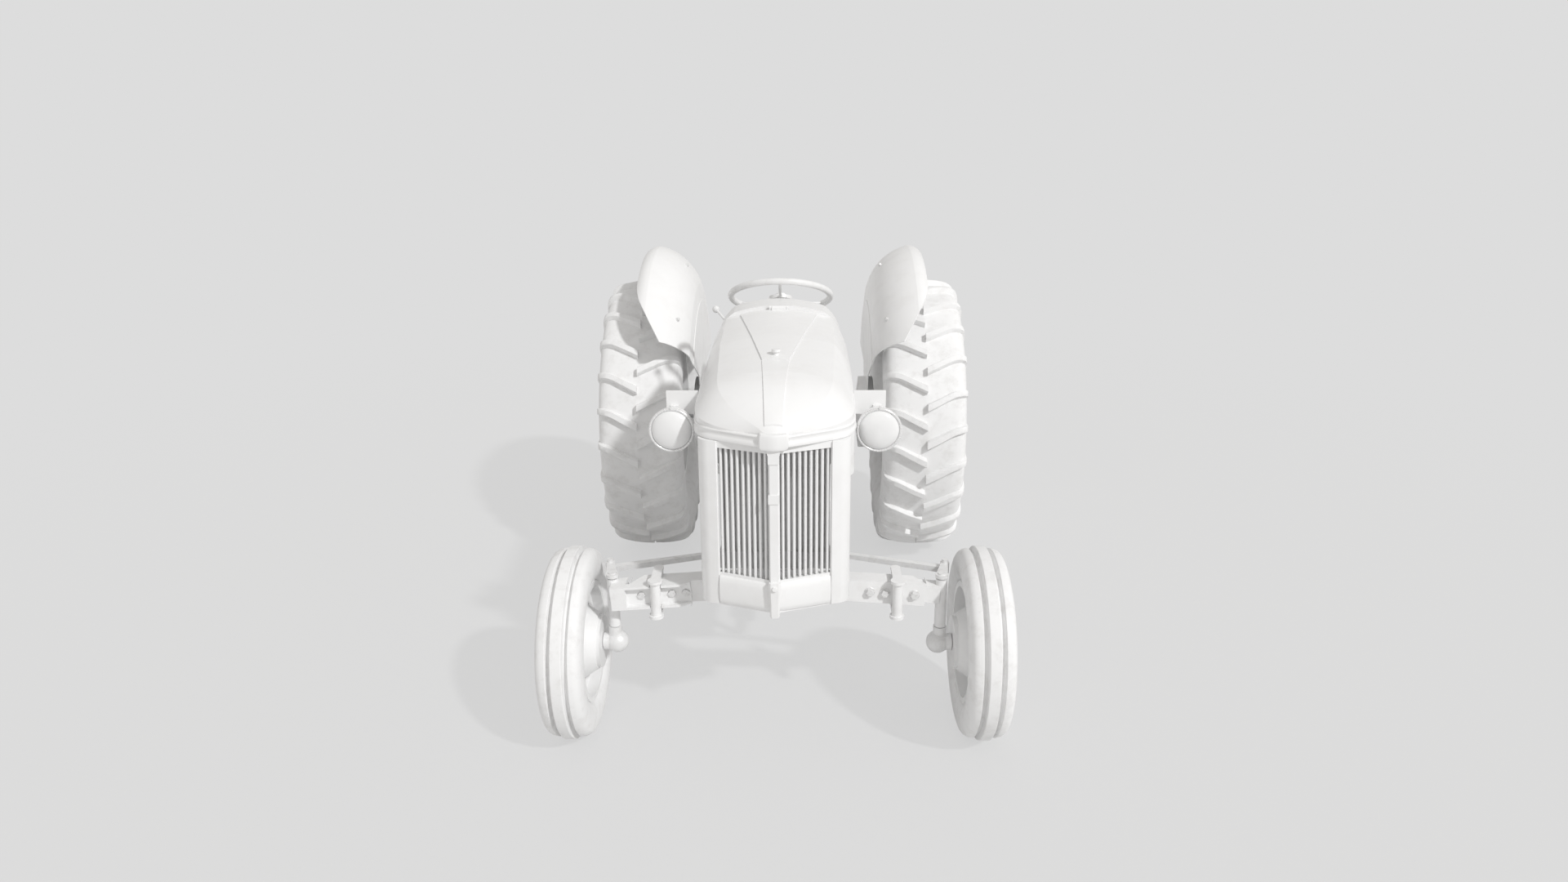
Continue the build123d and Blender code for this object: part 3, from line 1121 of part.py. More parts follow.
def hood_solid(grow, base):
    """Closed form of the hood, grown outward by this much, from this height up."""
    with BuildPart() as form:
        for sections, straight in ((HOOD_BODY, True), (HOOD_NOSE, False)):
            for behind, low, belt, belt_z, shoulder, shoulder_z, top in sections:
                reach = behind - (grow if behind < 0 else 0)
                with BuildSketch(cross_plane(reach)):
                    with BuildLine():
                        Polyline((-belt - grow, belt_z), (-low - grow, base), (low + grow, base),
                                 (belt + grow, belt_z))
                        for flank in (1, -1):
                            middle = (flank * (0.25 * belt + 0.75 * shoulder + 0.15 * (belt - shoulder) + grow),
                                      0.40 * belt_z + 0.60 * shoulder_z + 0.10 * (shoulder_z - belt_z)
                                      + 0.7 * grow)
                            ThreePointArc((flank * (belt + grow), belt_z), middle,
                                          (flank * shoulder, shoulder_z + grow))
                        ThreePointArc((-shoulder, shoulder_z + grow), (0, top + grow),
                                      (shoulder, shoulder_z + grow))
                    make_face()
            loft(ruled=straight)
    return form.part


DOOR_FRONT = 110
DOOR_REAR = 700
DOOR_FRONT_HALF = 46
DOOR_REAR_HALF = 150
DOOR_RIM = 16
DOOR_PROUD = 5
STRIP_HALF = 36
STRIP_PROUD = 3
DOOR_GAP = 0.4
HINGE_R = 7
HINGE_PIN_R = 4
HINGE_BEHIND = DOOR_REAR + 9
HINGE_Z = 1388 + 9
HINGE_HALF = 28
HINGE_EAR = 9
KNOB_BEHIND = 150


def top_prism(front, rear, front_half, rear_half):
    """Upright prism over the hood's top, tapering forward."""
    with BuildPart() as prism:
        with BuildSketch(Plane.XY.offset(HOOD_BASE + 40)):
            with BuildLine():
                Polyline((-front_half, along(front)), (front_half, along(front)),
                         (rear_half, along(rear)), (-rear_half, along(rear)), close=True)
            make_face()
        extrude(amount=400)
    return prism.part


hood_outer = hood_solid(0, HOOD_BASE)
hood_inner = hood_solid(-HOOD_WALL, HOOD_BASE - 30)
hood_inner = hood_inner.intersect(Box(900, 2000, 900, align=(Align.CENTER, Align.CENTER, Align.MIN))
                                  .moved(Location((0, along(HOOD_REAR) - 900, 1000))))
hood_proud = hood_solid(STRIP_PROUD, HOOD_BASE + 15)
door_form = hood_solid(DOOR_PROUD, HOOD_BASE + 15)
door_floor = hood_solid(DOOR_GAP, HOOD_BASE + 10)

with BuildPart() as hood:
    add(hood_outer)
    add(hood_proud.intersect(top_prism(-230, DOOR_FRONT - 6, STRIP_HALF - 8, STRIP_HALF + 10)))
    add(hood_inner, mode=Mode.SUBTRACT)
    with BuildSketch(cross_plane(HOOD_REAR - 1)):
        with BuildLine():
            Polyline((-250, HOOD_BASE - 10), (-250, 1240), (-190, 1340), (0, 1375), (190, 1340),
                     (250, 1240), (250, HOOD_BASE - 10), close=True)
        make_face()
    extrude(amount=-20, mode=Mode.SUBTRACT)
    add(top_prism(DOOR_FRONT + DOOR_RIM, DOOR_REAR - DOOR_RIM, DOOR_FRONT_HALF - DOOR_RIM,
                  DOOR_REAR_HALF - DOOR_RIM), mode=Mode.SUBTRACT)
    # hinge ears and pin at the rear of the door
    for flank in (-1, 1):
        with BuildSketch(side_plane(flank * (HINGE_HALF + 1))):
            with Locations((along(HINGE_BEHIND), HINGE_Z)):
                Circle(HINGE_R)
            with Locations((along(HINGE_BEHIND), HINGE_Z - 9)):
                Rectangle(2 * HINGE_R, 18)
        extrude(amount=flank * HINGE_EAR)
    with BuildSketch(side_plane(-HINGE_HALF - 2)):
        with Locations((along(HINGE_BEHIND), HINGE_Z)):
            Circle(HINGE_PIN_R)
    extrude(amount=2 * HINGE_HALF + 4)
finish(hood, "hood")

with BuildPart() as hood_door:
    add(door_form.intersect(top_prism(DOOR_FRONT, DOOR_REAR, DOOR_FRONT_HALF, DOOR_REAR_HALF)))
    add(door_floor, mode=Mode.SUBTRACT)
    with BuildSketch(side_plane(-HINGE_HALF)):
        with Locations((along(HINGE_BEHIND), HINGE_Z)):
            Circle(HINGE_R)
        with Locations((along(HINGE_BEHIND - 11), HINGE_Z - 4)):
            Rectangle(22, 6)
        with Locations((along(HINGE_BEHIND - 18), HINGE_Z - 6)):
            Rectangle(12, 8)
    extrude(amount=2 * HINGE_HALF)
    with BuildSketch(side_plane(-HINGE_HALF - 1)):
        with Locations((along(HINGE_BEHIND), HINGE_Z)):
            Circle(HINGE_PIN_R + RUNNING)
    extrude(amount=2 * HINGE_HALF + 2, mode=Mode.SUBTRACT)
    with BuildSketch(Plane.XY.offset(1341)):
        with Locations((0, along(KNOB_BEHIND))):
            Circle(9)
    extrude(amount=16)
    with BuildSketch(Plane.XY.offset(1355)):
        with Locations((0, along(KNOB_BEHIND))):
            Circle(15)
    extrude(amount=9)
finish(hood_door, "hood_door")

# Dash cowl behind the hood: hollow and open below, instrument plate across its rear, bulkhead before it
COWL_REAR = 866
COWL_FRONT = HOOD_REAR + SEAT_GAP
COWL_HALF = 244
COWL_BELT_Z = 1245
COWL_SHOULDER = 176
COWL_SHOULDER_Z = 1375
COWL_TOP = 1404
COWL_WALL = 5
COWL_BASE = 1100
DASH_T = 6
COLUMN_SLOT = 2 * COLUMN_R + 20
with BuildPart() as dash_cowl:
    for inset, start, length, how in (
            (0, COWL_FRONT, COWL_REAR - COWL_FRONT, Mode.ADD),
            (COWL_WALL, COWL_FRONT + COWL_WALL, COWL_REAR - COWL_FRONT - COWL_WALL - DASH_T, Mode.SUBTRACT)):
        half = COWL_HALF - inset
        with BuildSketch(cross_plane(start)):
            with BuildLine():
                Polyline((-half, COWL_BELT_Z), (-half, COWL_BASE - inset), (half, COWL_BASE - inset),
                         (half, COWL_BELT_Z))
                for flank in (1, -1):
                    ThreePointArc((flank * half, COWL_BELT_Z), (flank * (half - 18), COWL_BELT_Z + 74),
                                  (flank * COWL_SHOULDER, COWL_SHOULDER_Z - inset))
                ThreePointArc((-COWL_SHOULDER, COWL_SHOULDER_Z - inset), (0, COWL_TOP - inset),
                              (COWL_SHOULDER, COWL_SHOULDER_Z - inset))
            make_face()
        extrude(amount=-length, mode=how)
    # slot that the steering column passes through
    with BuildSketch(cross_plane(COWL_FRONT - 1)):
        with Locations((0, COWL_BASE + 50)):
            Rectangle(COLUMN_SLOT, 300)
    extrude(amount=-(COWL_REAR - COWL_FRONT + 2), mode=Mode.SUBTRACT)
    # gauge bezels
    with BuildSketch(cross_plane(COWL_REAR - 1)):
        with Locations((-110, 1265), (110, 1265)):
            Circle(40)
    extrude(amount=-9)
    # feet down to the engine
    for flank in (-1, 1):
        with BuildSketch(cross_plane(COWL_FRONT)):
            with BuildLine():
                Polyline((flank * 60, HEAD_TOP), (flank * 100, HEAD_TOP), (flank * 150, COWL_BASE + 10),
                         (flank * 60, COWL_BASE + 10), close=True)
            make_face()
        extrude(amount=-COWL_WALL)
finish(dash_cowl, "dash_cowl")

# Fuel tank under the rear of the hood
TANK_START = 400
TANK_END = HOOD_REAR - 8
TANK_HALF = 190
TANK_BASE = 1085
TANK_TOP = 1285
with BuildPart() as fuel_tank:
    with BuildSketch(cross_plane(TANK_START)):
        with Locations((0, (TANK_BASE + TANK_TOP) / 2)):
            RectangleRounded(2 * TANK_HALF, TANK_TOP - TANK_BASE, 60)
    extrude(amount=-(TANK_END - TANK_START))
    for start in (TANK_START + 60, TANK_END - 90):
        with BuildSketch(cross_plane(start)):
            with Locations((0, (TANK_BASE + TANK_TOP) / 2)):
                RectangleRounded(2 * TANK_HALF + 8, TANK_TOP - TANK_BASE + 8, 63)
        extrude(amount=-28)
    with BuildSketch(Plane.XY.offset(HEAD_TOP)):
        with Locations((-40, along(TANK_START + 74)), (-40, along(TANK_END - 40))):
            Rectangle(60, 24)
    extrude(amount=TANK_BASE - HEAD_TOP + 2)
    with BuildSketch(Plane.XY.offset(TANK_TOP - 2)):
        with Locations((0, along(TANK_END - 110))):
            Circle(32)
    extrude(amount=34)
finish(fuel_tank, "fuel_tank")

# Grille shell: V-shaped in plan, rounded corners, two tall windows, closed apron below, post on its prow
SHELL_TIP = -250
SHELL_CORNER = -160
SHELL_REAR = -74
SHELL_HALF = 236
SHELL_CORNER_R = 44
SHELL_WALL = 5
SHELL_BASE = 575
SHELL_TOP = HOOD_BASE - SEAT_GAP
WINDOW_BASE = 690
WINDOW_TOP = 1122
WINDOW_INNER = 18
WINDOW_OUTER = 180
SHELL_SLOPE = (SHELL_CORNER - SHELL_TIP) / SHELL_HALF
POST_HALF = 13
POST_DEPTH = 12
POST_BASE = WINDOW_BASE - 30


def shell_corners(inset):
    """Plan of the shell, moved inward by this much at the front and the flanks."""
    half = SHELL_HALF - inset
    tip = SHELL_TIP + inset / cos(atan2(SHELL_CORNER - SHELL_TIP, SHELL_HALF))
    corner = tip + SHELL_SLOPE * half
    return [(-half, along(SHELL_REAR)), (-half, along(corner)), (0, along(tip)),
            (half, along(corner)), (half, along(SHELL_REAR))]


def at_shell_corner(corner):
    return corner.Y < along(SHELL_REAR) - 1 and abs(corner.X) > 1


with BuildPart() as grille_shell:
    with BuildSketch(Plane.XY.offset(POST_BASE)):
        with Locations((0, along(SHELL_TIP - POST_DEPTH / 2 + 4))):
            Rectangle(2 * POST_HALF, POST_DEPTH)
    extrude(amount=SHELL_TOP - POST_BASE)
    for low, high in ((POST_BASE, POST_BASE + 22), (960, 990), (1092, SHELL_TOP)):
        with BuildSketch(Plane.XY.offset(low)):
            with Locations((0, along(SHELL_TIP - POST_DEPTH / 2 + 3))):
                Rectangle(2 * POST_HALF + 14, POST_DEPTH + 4)
        extrude(amount=high - low)
    with BuildSketch(Plane.XY.offset(SHELL_BASE)) as outer_plan:
        with BuildLine():
            Polyline(*shell_corners(0), close=True)
        make_face()
        fillet(outer_plan.vertices().filter_by(at_shell_corner), SHELL_CORNER_R)
    extrude(amount=SHELL_TOP - SHELL_BASE)
    with BuildSketch(Plane.XY.offset(SHELL_BASE - 1)) as inner_plan:
        with BuildLine():
            Polyline(*shell_corners(SHELL_WALL), close=True)
        make_face()
        fillet(inner_plan.vertices().filter_by(at_shell_corner), SHELL_CORNER_R - SHELL_WALL)
        with Locations((0, along(SHELL_REAR))):
            Rectangle(2 * (SHELL_HALF - SHELL_WALL), 4)
    extrude(amount=SHELL_TOP - SHELL_BASE + 2, mode=Mode.SUBTRACT)
    with BuildSketch(cross_plane(SHELL_TIP - 40)):
        for flank in (-1, 1):
            with Locations((flank * (WINDOW_INNER + WINDOW_OUTER) / 2, (WINDOW_BASE + WINDOW_TOP) / 2)):
                Rectangle(WINDOW_OUTER - WINDOW_INNER, WINDOW_TOP - WINDOW_BASE)
    extrude(amount=-150, mode=Mode.SUBTRACT)
    # floor that stands on the front support
    with BuildSketch(Plane.XY.offset(SUPPORT_TOP)) as floor_plan:
        with BuildLine():
            Polyline(*shell_corners(1), close=True)
        make_face()
        fillet(floor_plan.vertices().filter_by(at_shell_corner), SHELL_CORNER_R - 1)
        with Locations((0, along(SHELL_CORNER + 400))):
            Rectangle(3 * SHELL_HALF, 2 * 360, mode=Mode.SUBTRACT)
    extrude(amount=4)
finish(grille_shell, "grille_shell")

# Grille bars: upright bars behind the windows, joined by rails at top and bottom
BARS = 9
BAR_PITCH = (WINDOW_OUTER - WINDOW_INNER) / BARS
BAR_THICK = 6.5
BAR_DEPTH = 12
BAR_INSET = SHELL_WALL + 3
RAIL_FRONT = SHELL_TIP + SHELL_WALL / cos(atan2(SHELL_CORNER - SHELL_TIP, SHELL_HALF)) + SEAT_GAP
RAIL_REAR = SHELL_TIP + BAR_INSET + BAR_DEPTH
with BuildPart() as grille_bars:
    for flank in (-1, 1):
        for number in range(BARS):
            offset = WINDOW_INNER + (number + 0.5) * BAR_PITCH
            front = SHELL_TIP + BAR_INSET + SHELL_SLOPE * offset
            with BuildSketch(Plane.XY.offset(WINDOW_BASE - 12)):
                with Locations((flank * offset, along(front + BAR_DEPTH / 2))):
                    Rectangle(BAR_THICK, BAR_DEPTH)
            extrude(amount=WINDOW_TOP - WINDOW_BASE + 20)
        for base in (WINDOW_BASE - 12, WINDOW_TOP - 2):
            with BuildSketch(Plane.XY.offset(base)):
                with BuildLine():
                    Polyline((0, along(RAIL_FRONT)),
                             (flank * WINDOW_OUTER, along(RAIL_FRONT + SHELL_SLOPE * WINDOW_OUTER)),
                             (flank * WINDOW_OUTER, along(RAIL_REAR + SHELL_SLOPE * WINDOW_OUTER)),
                             (0, along(RAIL_REAR)), close=True)
                make_face()
            extrude(amount=10)
finish(grille_bars, "grille_bars")

# Headlamps: shells on flat brackets at the hood's flanks, each with a domed lens
LAMP_X = 343
LAMP_BEHIND = -10
LAMP_Z = 1128
LAMP_R = 72
LENS_R = 66
LAMP_BACK = 96
LAMP_PLATE_BEHIND = 100
LAMP_PLATE_INNER = (HOOD_BODY[-1][2] + SEAT_GAP
                    + (HOOD_BODY[-2][2] - HOOD_BODY[-1][2]) * LAMP_PLATE_BEHIND / HOOD_BODY[-2][0])
LAMP_PLATE_OUTER = 372
LAMP_PLATE_Z = 1190
LAMP_PLATE_H = 82
LENS_DOME = 30
with BuildPart() as headlamps:
    for side, sign in SIDES:
        lamp_centre = (sign * LAMP_X, along(LAMP_BEHIND), LAMP_Z)
        with BuildSketch(Plane(origin=lamp_centre, x_dir=(1, 0, 0), z_dir=(0, 0, 1))):
            with BuildLine():
                Polyline((0, 30), (LENS_R + 1, 6), (LENS_R + 1, -8), (LAMP_R, -8), (LAMP_R + 3, 0),
                         (LAMP_R, 10))
                ThreePointArc((LAMP_R, 10), (50, 72), (20, LAMP_BACK))
                Polyline((20, LAMP_BACK), (0, LAMP_BACK), (0, 30))
            make_face()
        revolve(axis=Axis(lamp_centre, (0, 1, 0)))
        with BuildSketch(cross_plane(LAMP_PLATE_BEHIND)):
            with Locations((sign * (LAMP_PLATE_INNER + LAMP_PLATE_OUTER) / 2, LAMP_PLATE_Z)):
                Rectangle(LAMP_PLATE_OUTER - LAMP_PLATE_INNER, LAMP_PLATE_H)
        extrude(amount=-6)
        with BuildSketch(cross_plane(LAMP_BEHIND + LAMP_BACK - 2)):
            with Locations((sign * LAMP_X, LAMP_Z)):
                Circle(16)
            with Locations((sign * LAMP_X, LAMP_Z + 24)):
                Rectangle(28, 60)
        extrude(amount=-(LAMP_PLATE_BEHIND - LAMP_BEHIND - LAMP_BACK + 4))
finish(headlamps, "headlamps")

with BuildPart() as lamp_lenses:
    for side, sign in SIDES:
        lamp_centre = (sign * LAMP_X, along(LAMP_BEHIND), LAMP_Z)
        with BuildSketch(Plane(origin=lamp_centre, x_dir=(1, 0, 0), z_dir=(0, 0, 1))):
            with BuildLine():
                dome_half, dome_depth = cap_middle(LENS_R, LENS_DOME)
                Polyline((0, 30 - SEAT_GAP), (LENS_R, 6 - SEAT_GAP), (LENS_R, -2))
                ThreePointArc((LENS_R, -2), (dome_half, -2 - dome_depth), (0, -2 - LENS_DOME))
                Line((0, -2 - LENS_DOME), (0, 30 - SEAT_GAP))
            make_face()
        revolve(axis=Axis(lamp_centre, (0, 1, 0)))
finish(lamp_lenses, "lamp_lenses")

# Fenders: a rounded channel turned about the rear axle, and a flat panel round the brake drum
FENDER_REAR = 65
FENDER_FRONT = 51
FENDER_T = 4
FENDER_PANEL_X = 405
FENDER_PANEL_R = 560
FENDER_PANEL = ((-178, 230), (-120, 95), (120, 95), (190, 220))
with BuildPart() as fenders:
    for side, sign in SIDES:
        start_turn = radians(FENDER_REAR)
        hub = (0, REAR_AXLE_Y, REAR_TYRE_R)
        with BuildSketch(Plane(origin=hub, x_dir=(1, 0, 0),
                               z_dir=(0, -cos(start_turn), sin(start_turn)))):
            with BuildLine():
                ThreePointArc((sign * 655, 800), (sign * 632, 817), (sign * 600, 822))
                ThreePointArc((sign * 600, 822), (sign * 478, 752), (sign * 415, 640))
                Polyline((sign * 415, 640), (sign * FENDER_PANEL_X, 540),
                         (sign * (FENDER_PANEL_X + FENDER_T), 540), (sign * (415 + FENDER_T), 638))
                ThreePointArc((sign * (415 + FENDER_T), 638), (sign * 481, 749), (sign * 600, 822 - FENDER_T))
                ThreePointArc((sign * 600, 822 - FENDER_T), (sign * 631, 813), (sign * 652, 797))
                Line((sign * 652, 797), (sign * 655, 800))
            make_face()
        revolve(axis=Axis(hub, (1, 0, 0)), revolution_arc=FENDER_REAR + FENDER_FRONT)
        front_turn = radians(FENDER_FRONT)
        with BuildSketch(side_plane(sign * FENDER_PANEL_X)):
            with BuildLine():
                Polyline((REAR_AXLE_Y - FENDER_PANEL_R * sin(front_turn),
                          REAR_TYRE_R + FENDER_PANEL_R * cos(front_turn)),
                         *[(REAR_AXLE_Y + far, REAR_TYRE_R + high) for far, high in FENDER_PANEL],
                         (REAR_AXLE_Y + FENDER_PANEL_R * sin(start_turn),
                          REAR_TYRE_R + FENDER_PANEL_R * cos(start_turn)))
                ThreePointArc((REAR_AXLE_Y + FENDER_PANEL_R * sin(start_turn),
                               REAR_TYRE_R + FENDER_PANEL_R * cos(start_turn)),
                              (REAR_AXLE_Y, REAR_TYRE_R + FENDER_PANEL_R),
                              (REAR_AXLE_Y - FENDER_PANEL_R * sin(front_turn),
                               REAR_TYRE_R + FENDER_PANEL_R * cos(front_turn)))
            make_face()
            with Locations((REAR_AXLE_Y, REAR_TYRE_R)):
                Circle(DRUM_R + SEAT_GAP, mode=Mode.SUBTRACT)
        extrude(amount=sign * FENDER_T)
        # rounded front outer corner
        with BuildSketch(Plane.XY.offset(REAR_TYRE_R)):
            with BuildLine():
                Polyline((sign * 400, along(1080)), (sign * 760, along(1080)), (sign * 760, along(1390)),
                         (sign * 652, along(1390)))
                ThreePointArc((sign * 652, along(1390)), (sign * 605, along(1240)), (sign * 500, along(1138)))
                Line((sign * 500, along(1138)), (sign * 400, along(1080)))
            make_face()
        extrude(amount=900, mode=Mode.SUBTRACT)
finish(fenders, "fenders")

# Seat: a dished pan on a flat spring that stands on the lift cover
SEAT_BEHIND = 1555
SEAT_Z = 1040
SEAT_R = 206
SEAT_DEPTH = 82
SEAT_T = 5
SEAT_TILT = 9
SPRING_HALF = 32
SPRING_T = 12
seat_plane = Plane(origin=(0, along(SEAT_BEHIND), SEAT_Z + SEAT_DEPTH),
                   x_dir=(1, 0, 0), z_dir=(0, -sin(radians(SEAT_TILT)), cos(radians(SEAT_TILT))))
seat_axis = Axis(seat_plane.origin, seat_plane.z_dir)
with BuildPart() as seat:
    with BuildSketch(Plane(origin=seat_plane.origin, x_dir=(1, 0, 0), z_dir=-seat_plane.y_dir)):
        with BuildLine():
            dish_half, dish_depth = cap_middle(SEAT_R, SEAT_DEPTH)
            back_half, back_depth = cap_middle(SEAT_R + 3, SEAT_DEPTH + SEAT_T - 10)
            ThreePointArc((0, -SEAT_DEPTH), (dish_half, -dish_depth), (SEAT_R, 0))
            Polyline((SEAT_R, 0), (SEAT_R + 9, -4), (SEAT_R + 9, -12), (SEAT_R + 3, -10))
            ThreePointArc((SEAT_R + 3, -10), (back_half, -10 - back_depth), (0, -SEAT_DEPTH - SEAT_T))
            Line((0, -SEAT_DEPTH - SEAT_T), (0, -SEAT_DEPTH))
        make_face()
    revolve(axis=seat_axis)
    with BuildSketch(side_plane(-SPRING_HALF)):
        with BuildLine():
            Polyline((along(1730), COVER_TOP), (along(1640), COVER_TOP), (along(1530), SEAT_Z - 16),
                     (along(1530), SEAT_Z - 2), (along(1610), SEAT_Z + 6), (along(1610), SEAT_Z - 8),
                     (along(1570), SEAT_Z - 12), (along(1660), COVER_TOP + SPRING_T),
                     (along(1730), COVER_TOP + SPRING_T), close=True)
        make_face()
    extrude(amount=2 * SPRING_HALF)
finish(seat, "seat")

# Driver's controls: footrests and pedals on the transmission, gear lever, throttle lever
PEDAL_SHAFT_BEHIND = 1230
PEDAL_SHAFT_Z = 560
PEDAL_R = 11
with BuildPart() as controls:
    for side, sign in SIDES:
        with BuildSketch(Plane.XY.offset(500)):
            with Locations((sign * (CASE_HALF + 95), along(1350))):
                RectangleRounded(190 - 2 * SEAT_GAP, 110, 12)
        extrude(amount=14)
        with BuildSketch(side_plane(sign * (CASE_HALF + SEAT_GAP))):
            with Locations((along(1350), 490)):
                Rectangle(90, 60)
        extrude(amount=sign * 12)
        elbow = (sign * 222, along(PEDAL_SHAFT_BEHIND), PEDAL_SHAFT_Z)
        pad = (sign * 222, along(1120), 742)
        with BuildSketch(side_plane(sign * (CASE_HALF + SEAT_GAP))):
            with Locations((along(PEDAL_SHAFT_BEHIND), PEDAL_SHAFT_Z)):
                Circle(15)
        extrude(amount=sign * (222 + 12 - CASE_HALF))
        with BuildSketch(rod_plane(elbow, pad)):
            Circle(PEDAL_R)
        extrude(amount=rod_length(elbow, pad))
        with BuildSketch(Plane(origin=pad, z_dir=Vector(*pad) - Vector(*elbow), x_dir=(1, 0, 0))):
            RectangleRounded(86, 66, 10)
        extrude(amount=10)
    lever_foot = (0, along(1170), CASE_TOP + 26)
    lever_knee = (0, along(1230), CASE_TOP + 150)
    lever_top = (0, along(1300), CASE_TOP + 205)
    with BuildSketch(Plane.XY.offset(CASE_TOP + 26)):
        with Locations((0, along(1170))):
            Circle(34)
    extrude(amount=34, taper=20)
    for start, end in (((0, along(1170), CASE_TOP + 50), lever_knee), (lever_knee, lever_top)):
        with BuildSketch(rod_plane(start, end)):
            Circle(8)
        extrude(amount=rod_length(start, end))
    with Locations(lever_knee):
        Sphere(8.2)
    with Locations(lever_top):
        Sphere(20)
    throttle_foot = (-(COWL_HALF - 60), along(COWL_REAR + 4), 1268)
    throttle_top = (-265, along(960), 1342)
    with BuildSketch(rod_plane(throttle_foot, throttle_top)):
        Circle(5)
    extrude(amount=rod_length(throttle_foot, throttle_top))
    with BuildSketch(cross_plane(COWL_REAR + SEAT_GAP)):
        with Locations((throttle_foot[0], throttle_foot[2])):
            Circle(14)
    extrude(amount=-10)
    with Locations(throttle_top):
        Sphere(15)
finish(controls, "controls")

# Air cleaner beside the engine, with its hose to the carburettor
CLEANER_R = 70
CLEANER_X = 235
CLEANER_BEHIND = BELL_START - 10
CLEANER_BASE = 685
CLEANER_TOP = 950
with BuildPart() as air_cleaner:
    with BuildSketch(Plane.XY.offset(CLEANER_BASE)):
        with Locations((CLEANER_X, along(CLEANER_BEHIND))):
            Circle(CLEANER_R)
    extrude(amount=CLEANER_TOP - CLEANER_BASE)
    fillet(air_cleaner.edges(), 12)
    with BuildSketch(Plane.XY.offset(CLEANER_TOP - 2)):
        with Locations((CLEANER_X, along(CLEANER_BEHIND))):
            Circle(28)
    extrude(amount=52)
    with BuildSketch(Plane.XY.offset(CLEANER_TOP + 48)):
        with Locations((CLEANER_X, along(CLEANER_BEHIND))):
            Circle(46)
    extrude(amount=34)
    with BuildSketch(cross_plane(CLEANER_BEHIND + 10)):
        with Locations(((BELL_HALF + 6 + SEAT_GAP + CLEANER_X) / 2, 800)):
            Rectangle(CLEANER_X - BELL_HALF - 6 - SEAT_GAP, 60)
    extrude(amount=-14)
finish(air_cleaner, "air_cleaner")

# Lift arms on the rocker shaft
ARM_X = 176
ARM_T = 22
ARM_LENGTH = 228
ARM_DROP = 6
ARM_END_BEHIND = ROCKER_BEHIND + ARM_LENGTH * cos(radians(ARM_DROP))
ARM_END_Z = ROCKER_Z - ARM_LENGTH * sin(radians(ARM_DROP))
ARM_PIN_R = 12
with BuildPart() as lift_arms:
    with BuildSketch(side_plane(-ARM_X)):
        with Locations((along(ROCKER_BEHIND), ROCKER_Z)):
            Circle(ROCKER_R)
    extrude(amount=2 * ARM_X)
    for side, sign in SIDES:
        with BuildSketch(side_plane(sign * (ARM_X - ARM_T / 2))):
            with BuildLine():
                Polyline((along(ROCKER_BEHIND), ROCKER_Z + 34), (along(ROCKER_BEHIND), ROCKER_Z - 34),
                         (along(ARM_END_BEHIND), ARM_END_Z - 24), (along(ARM_END_BEHIND), ARM_END_Z + 24),
                         close=True)
            make_face()
            with Locations((along(ROCKER_BEHIND), ROCKER_Z)):
                Circle(36)
            with Locations((along(ARM_END_BEHIND), ARM_END_Z)):
                Circle(25)
        extrude(amount=sign * ARM_T)
        with BuildSketch(side_plane(sign * (ARM_X + ARM_T / 2 - 2))):
            with Locations((along(ARM_END_BEHIND), ARM_END_Z)):
                Circle(ARM_PIN_R)
        extrude(amount=sign * 34)
finish(lift_arms, "lift_arms")

# Lower links on the pins of the axle housings, with a side pin for the lift rods
LINK_INNER = 306
LINK_T = 22
LINK_HALF_H = 24
LINK_PIN_R = 14
LINK_EYE_H = 36
ROD_ON_LINK = 400
ROD_PIN_R = 11
for side, sign in SIDES:
    with BuildPart() as lower_link:
        with BuildSketch(side_plane(sign * LINK_INNER)):
            with BuildLine():
                Polyline((along(LINK_PIVOT_BEHIND), LINK_PIVOT_Z - LINK_HALF_H),
                         (along(LINK_END_BEHIND), LINK_PIVOT_Z - LINK_HALF_H),
                         (along(LINK_END_BEHIND), LINK_PIVOT_Z + LINK_HALF_H),
                         (along(LINK_PIVOT_BEHIND), LINK_PIVOT_Z + LINK_HALF_H), close=True)
            make_face()
            with Locations((along(LINK_PIVOT_BEHIND), LINK_PIVOT_Z)):
                Circle(LINK_EYE_H)
            with Locations((along(LINK_END_BEHIND), LINK_PIVOT_Z)):
                Circle(LINK_EYE_R)
        extrude(amount=sign * LINK_T)
        with BuildSketch(side_plane(sign * (LINK_INNER - 6))):
            with Locations((along(LINK_END_BEHIND), LINK_PIVOT_Z)):
                Circle(21)
        extrude(amount=sign * (LINK_T + 12))
        with BuildSketch(side_plane(sign * (LINK_INNER - 10))):
            with Locations((along(LINK_PIVOT_BEHIND), LINK_PIVOT_Z)):
                Circle(LINK_PIN_R + RUNNING)
            with Locations((along(LINK_END_BEHIND), LINK_PIVOT_Z)):
                Circle(LINK_BALL_BORE)
        extrude(amount=sign * (LINK_T + 20), mode=Mode.SUBTRACT)
        with BuildSketch(side_plane(sign * (LINK_INNER + 2))):
            with Locations((along(LINK_PIVOT_BEHIND + ROD_ON_LINK), LINK_PIVOT_Z)):
                Circle(ROD_PIN_R)
        extrude(amount=-sign * 42)
    finish(lower_link, f"lower_link_{side}")

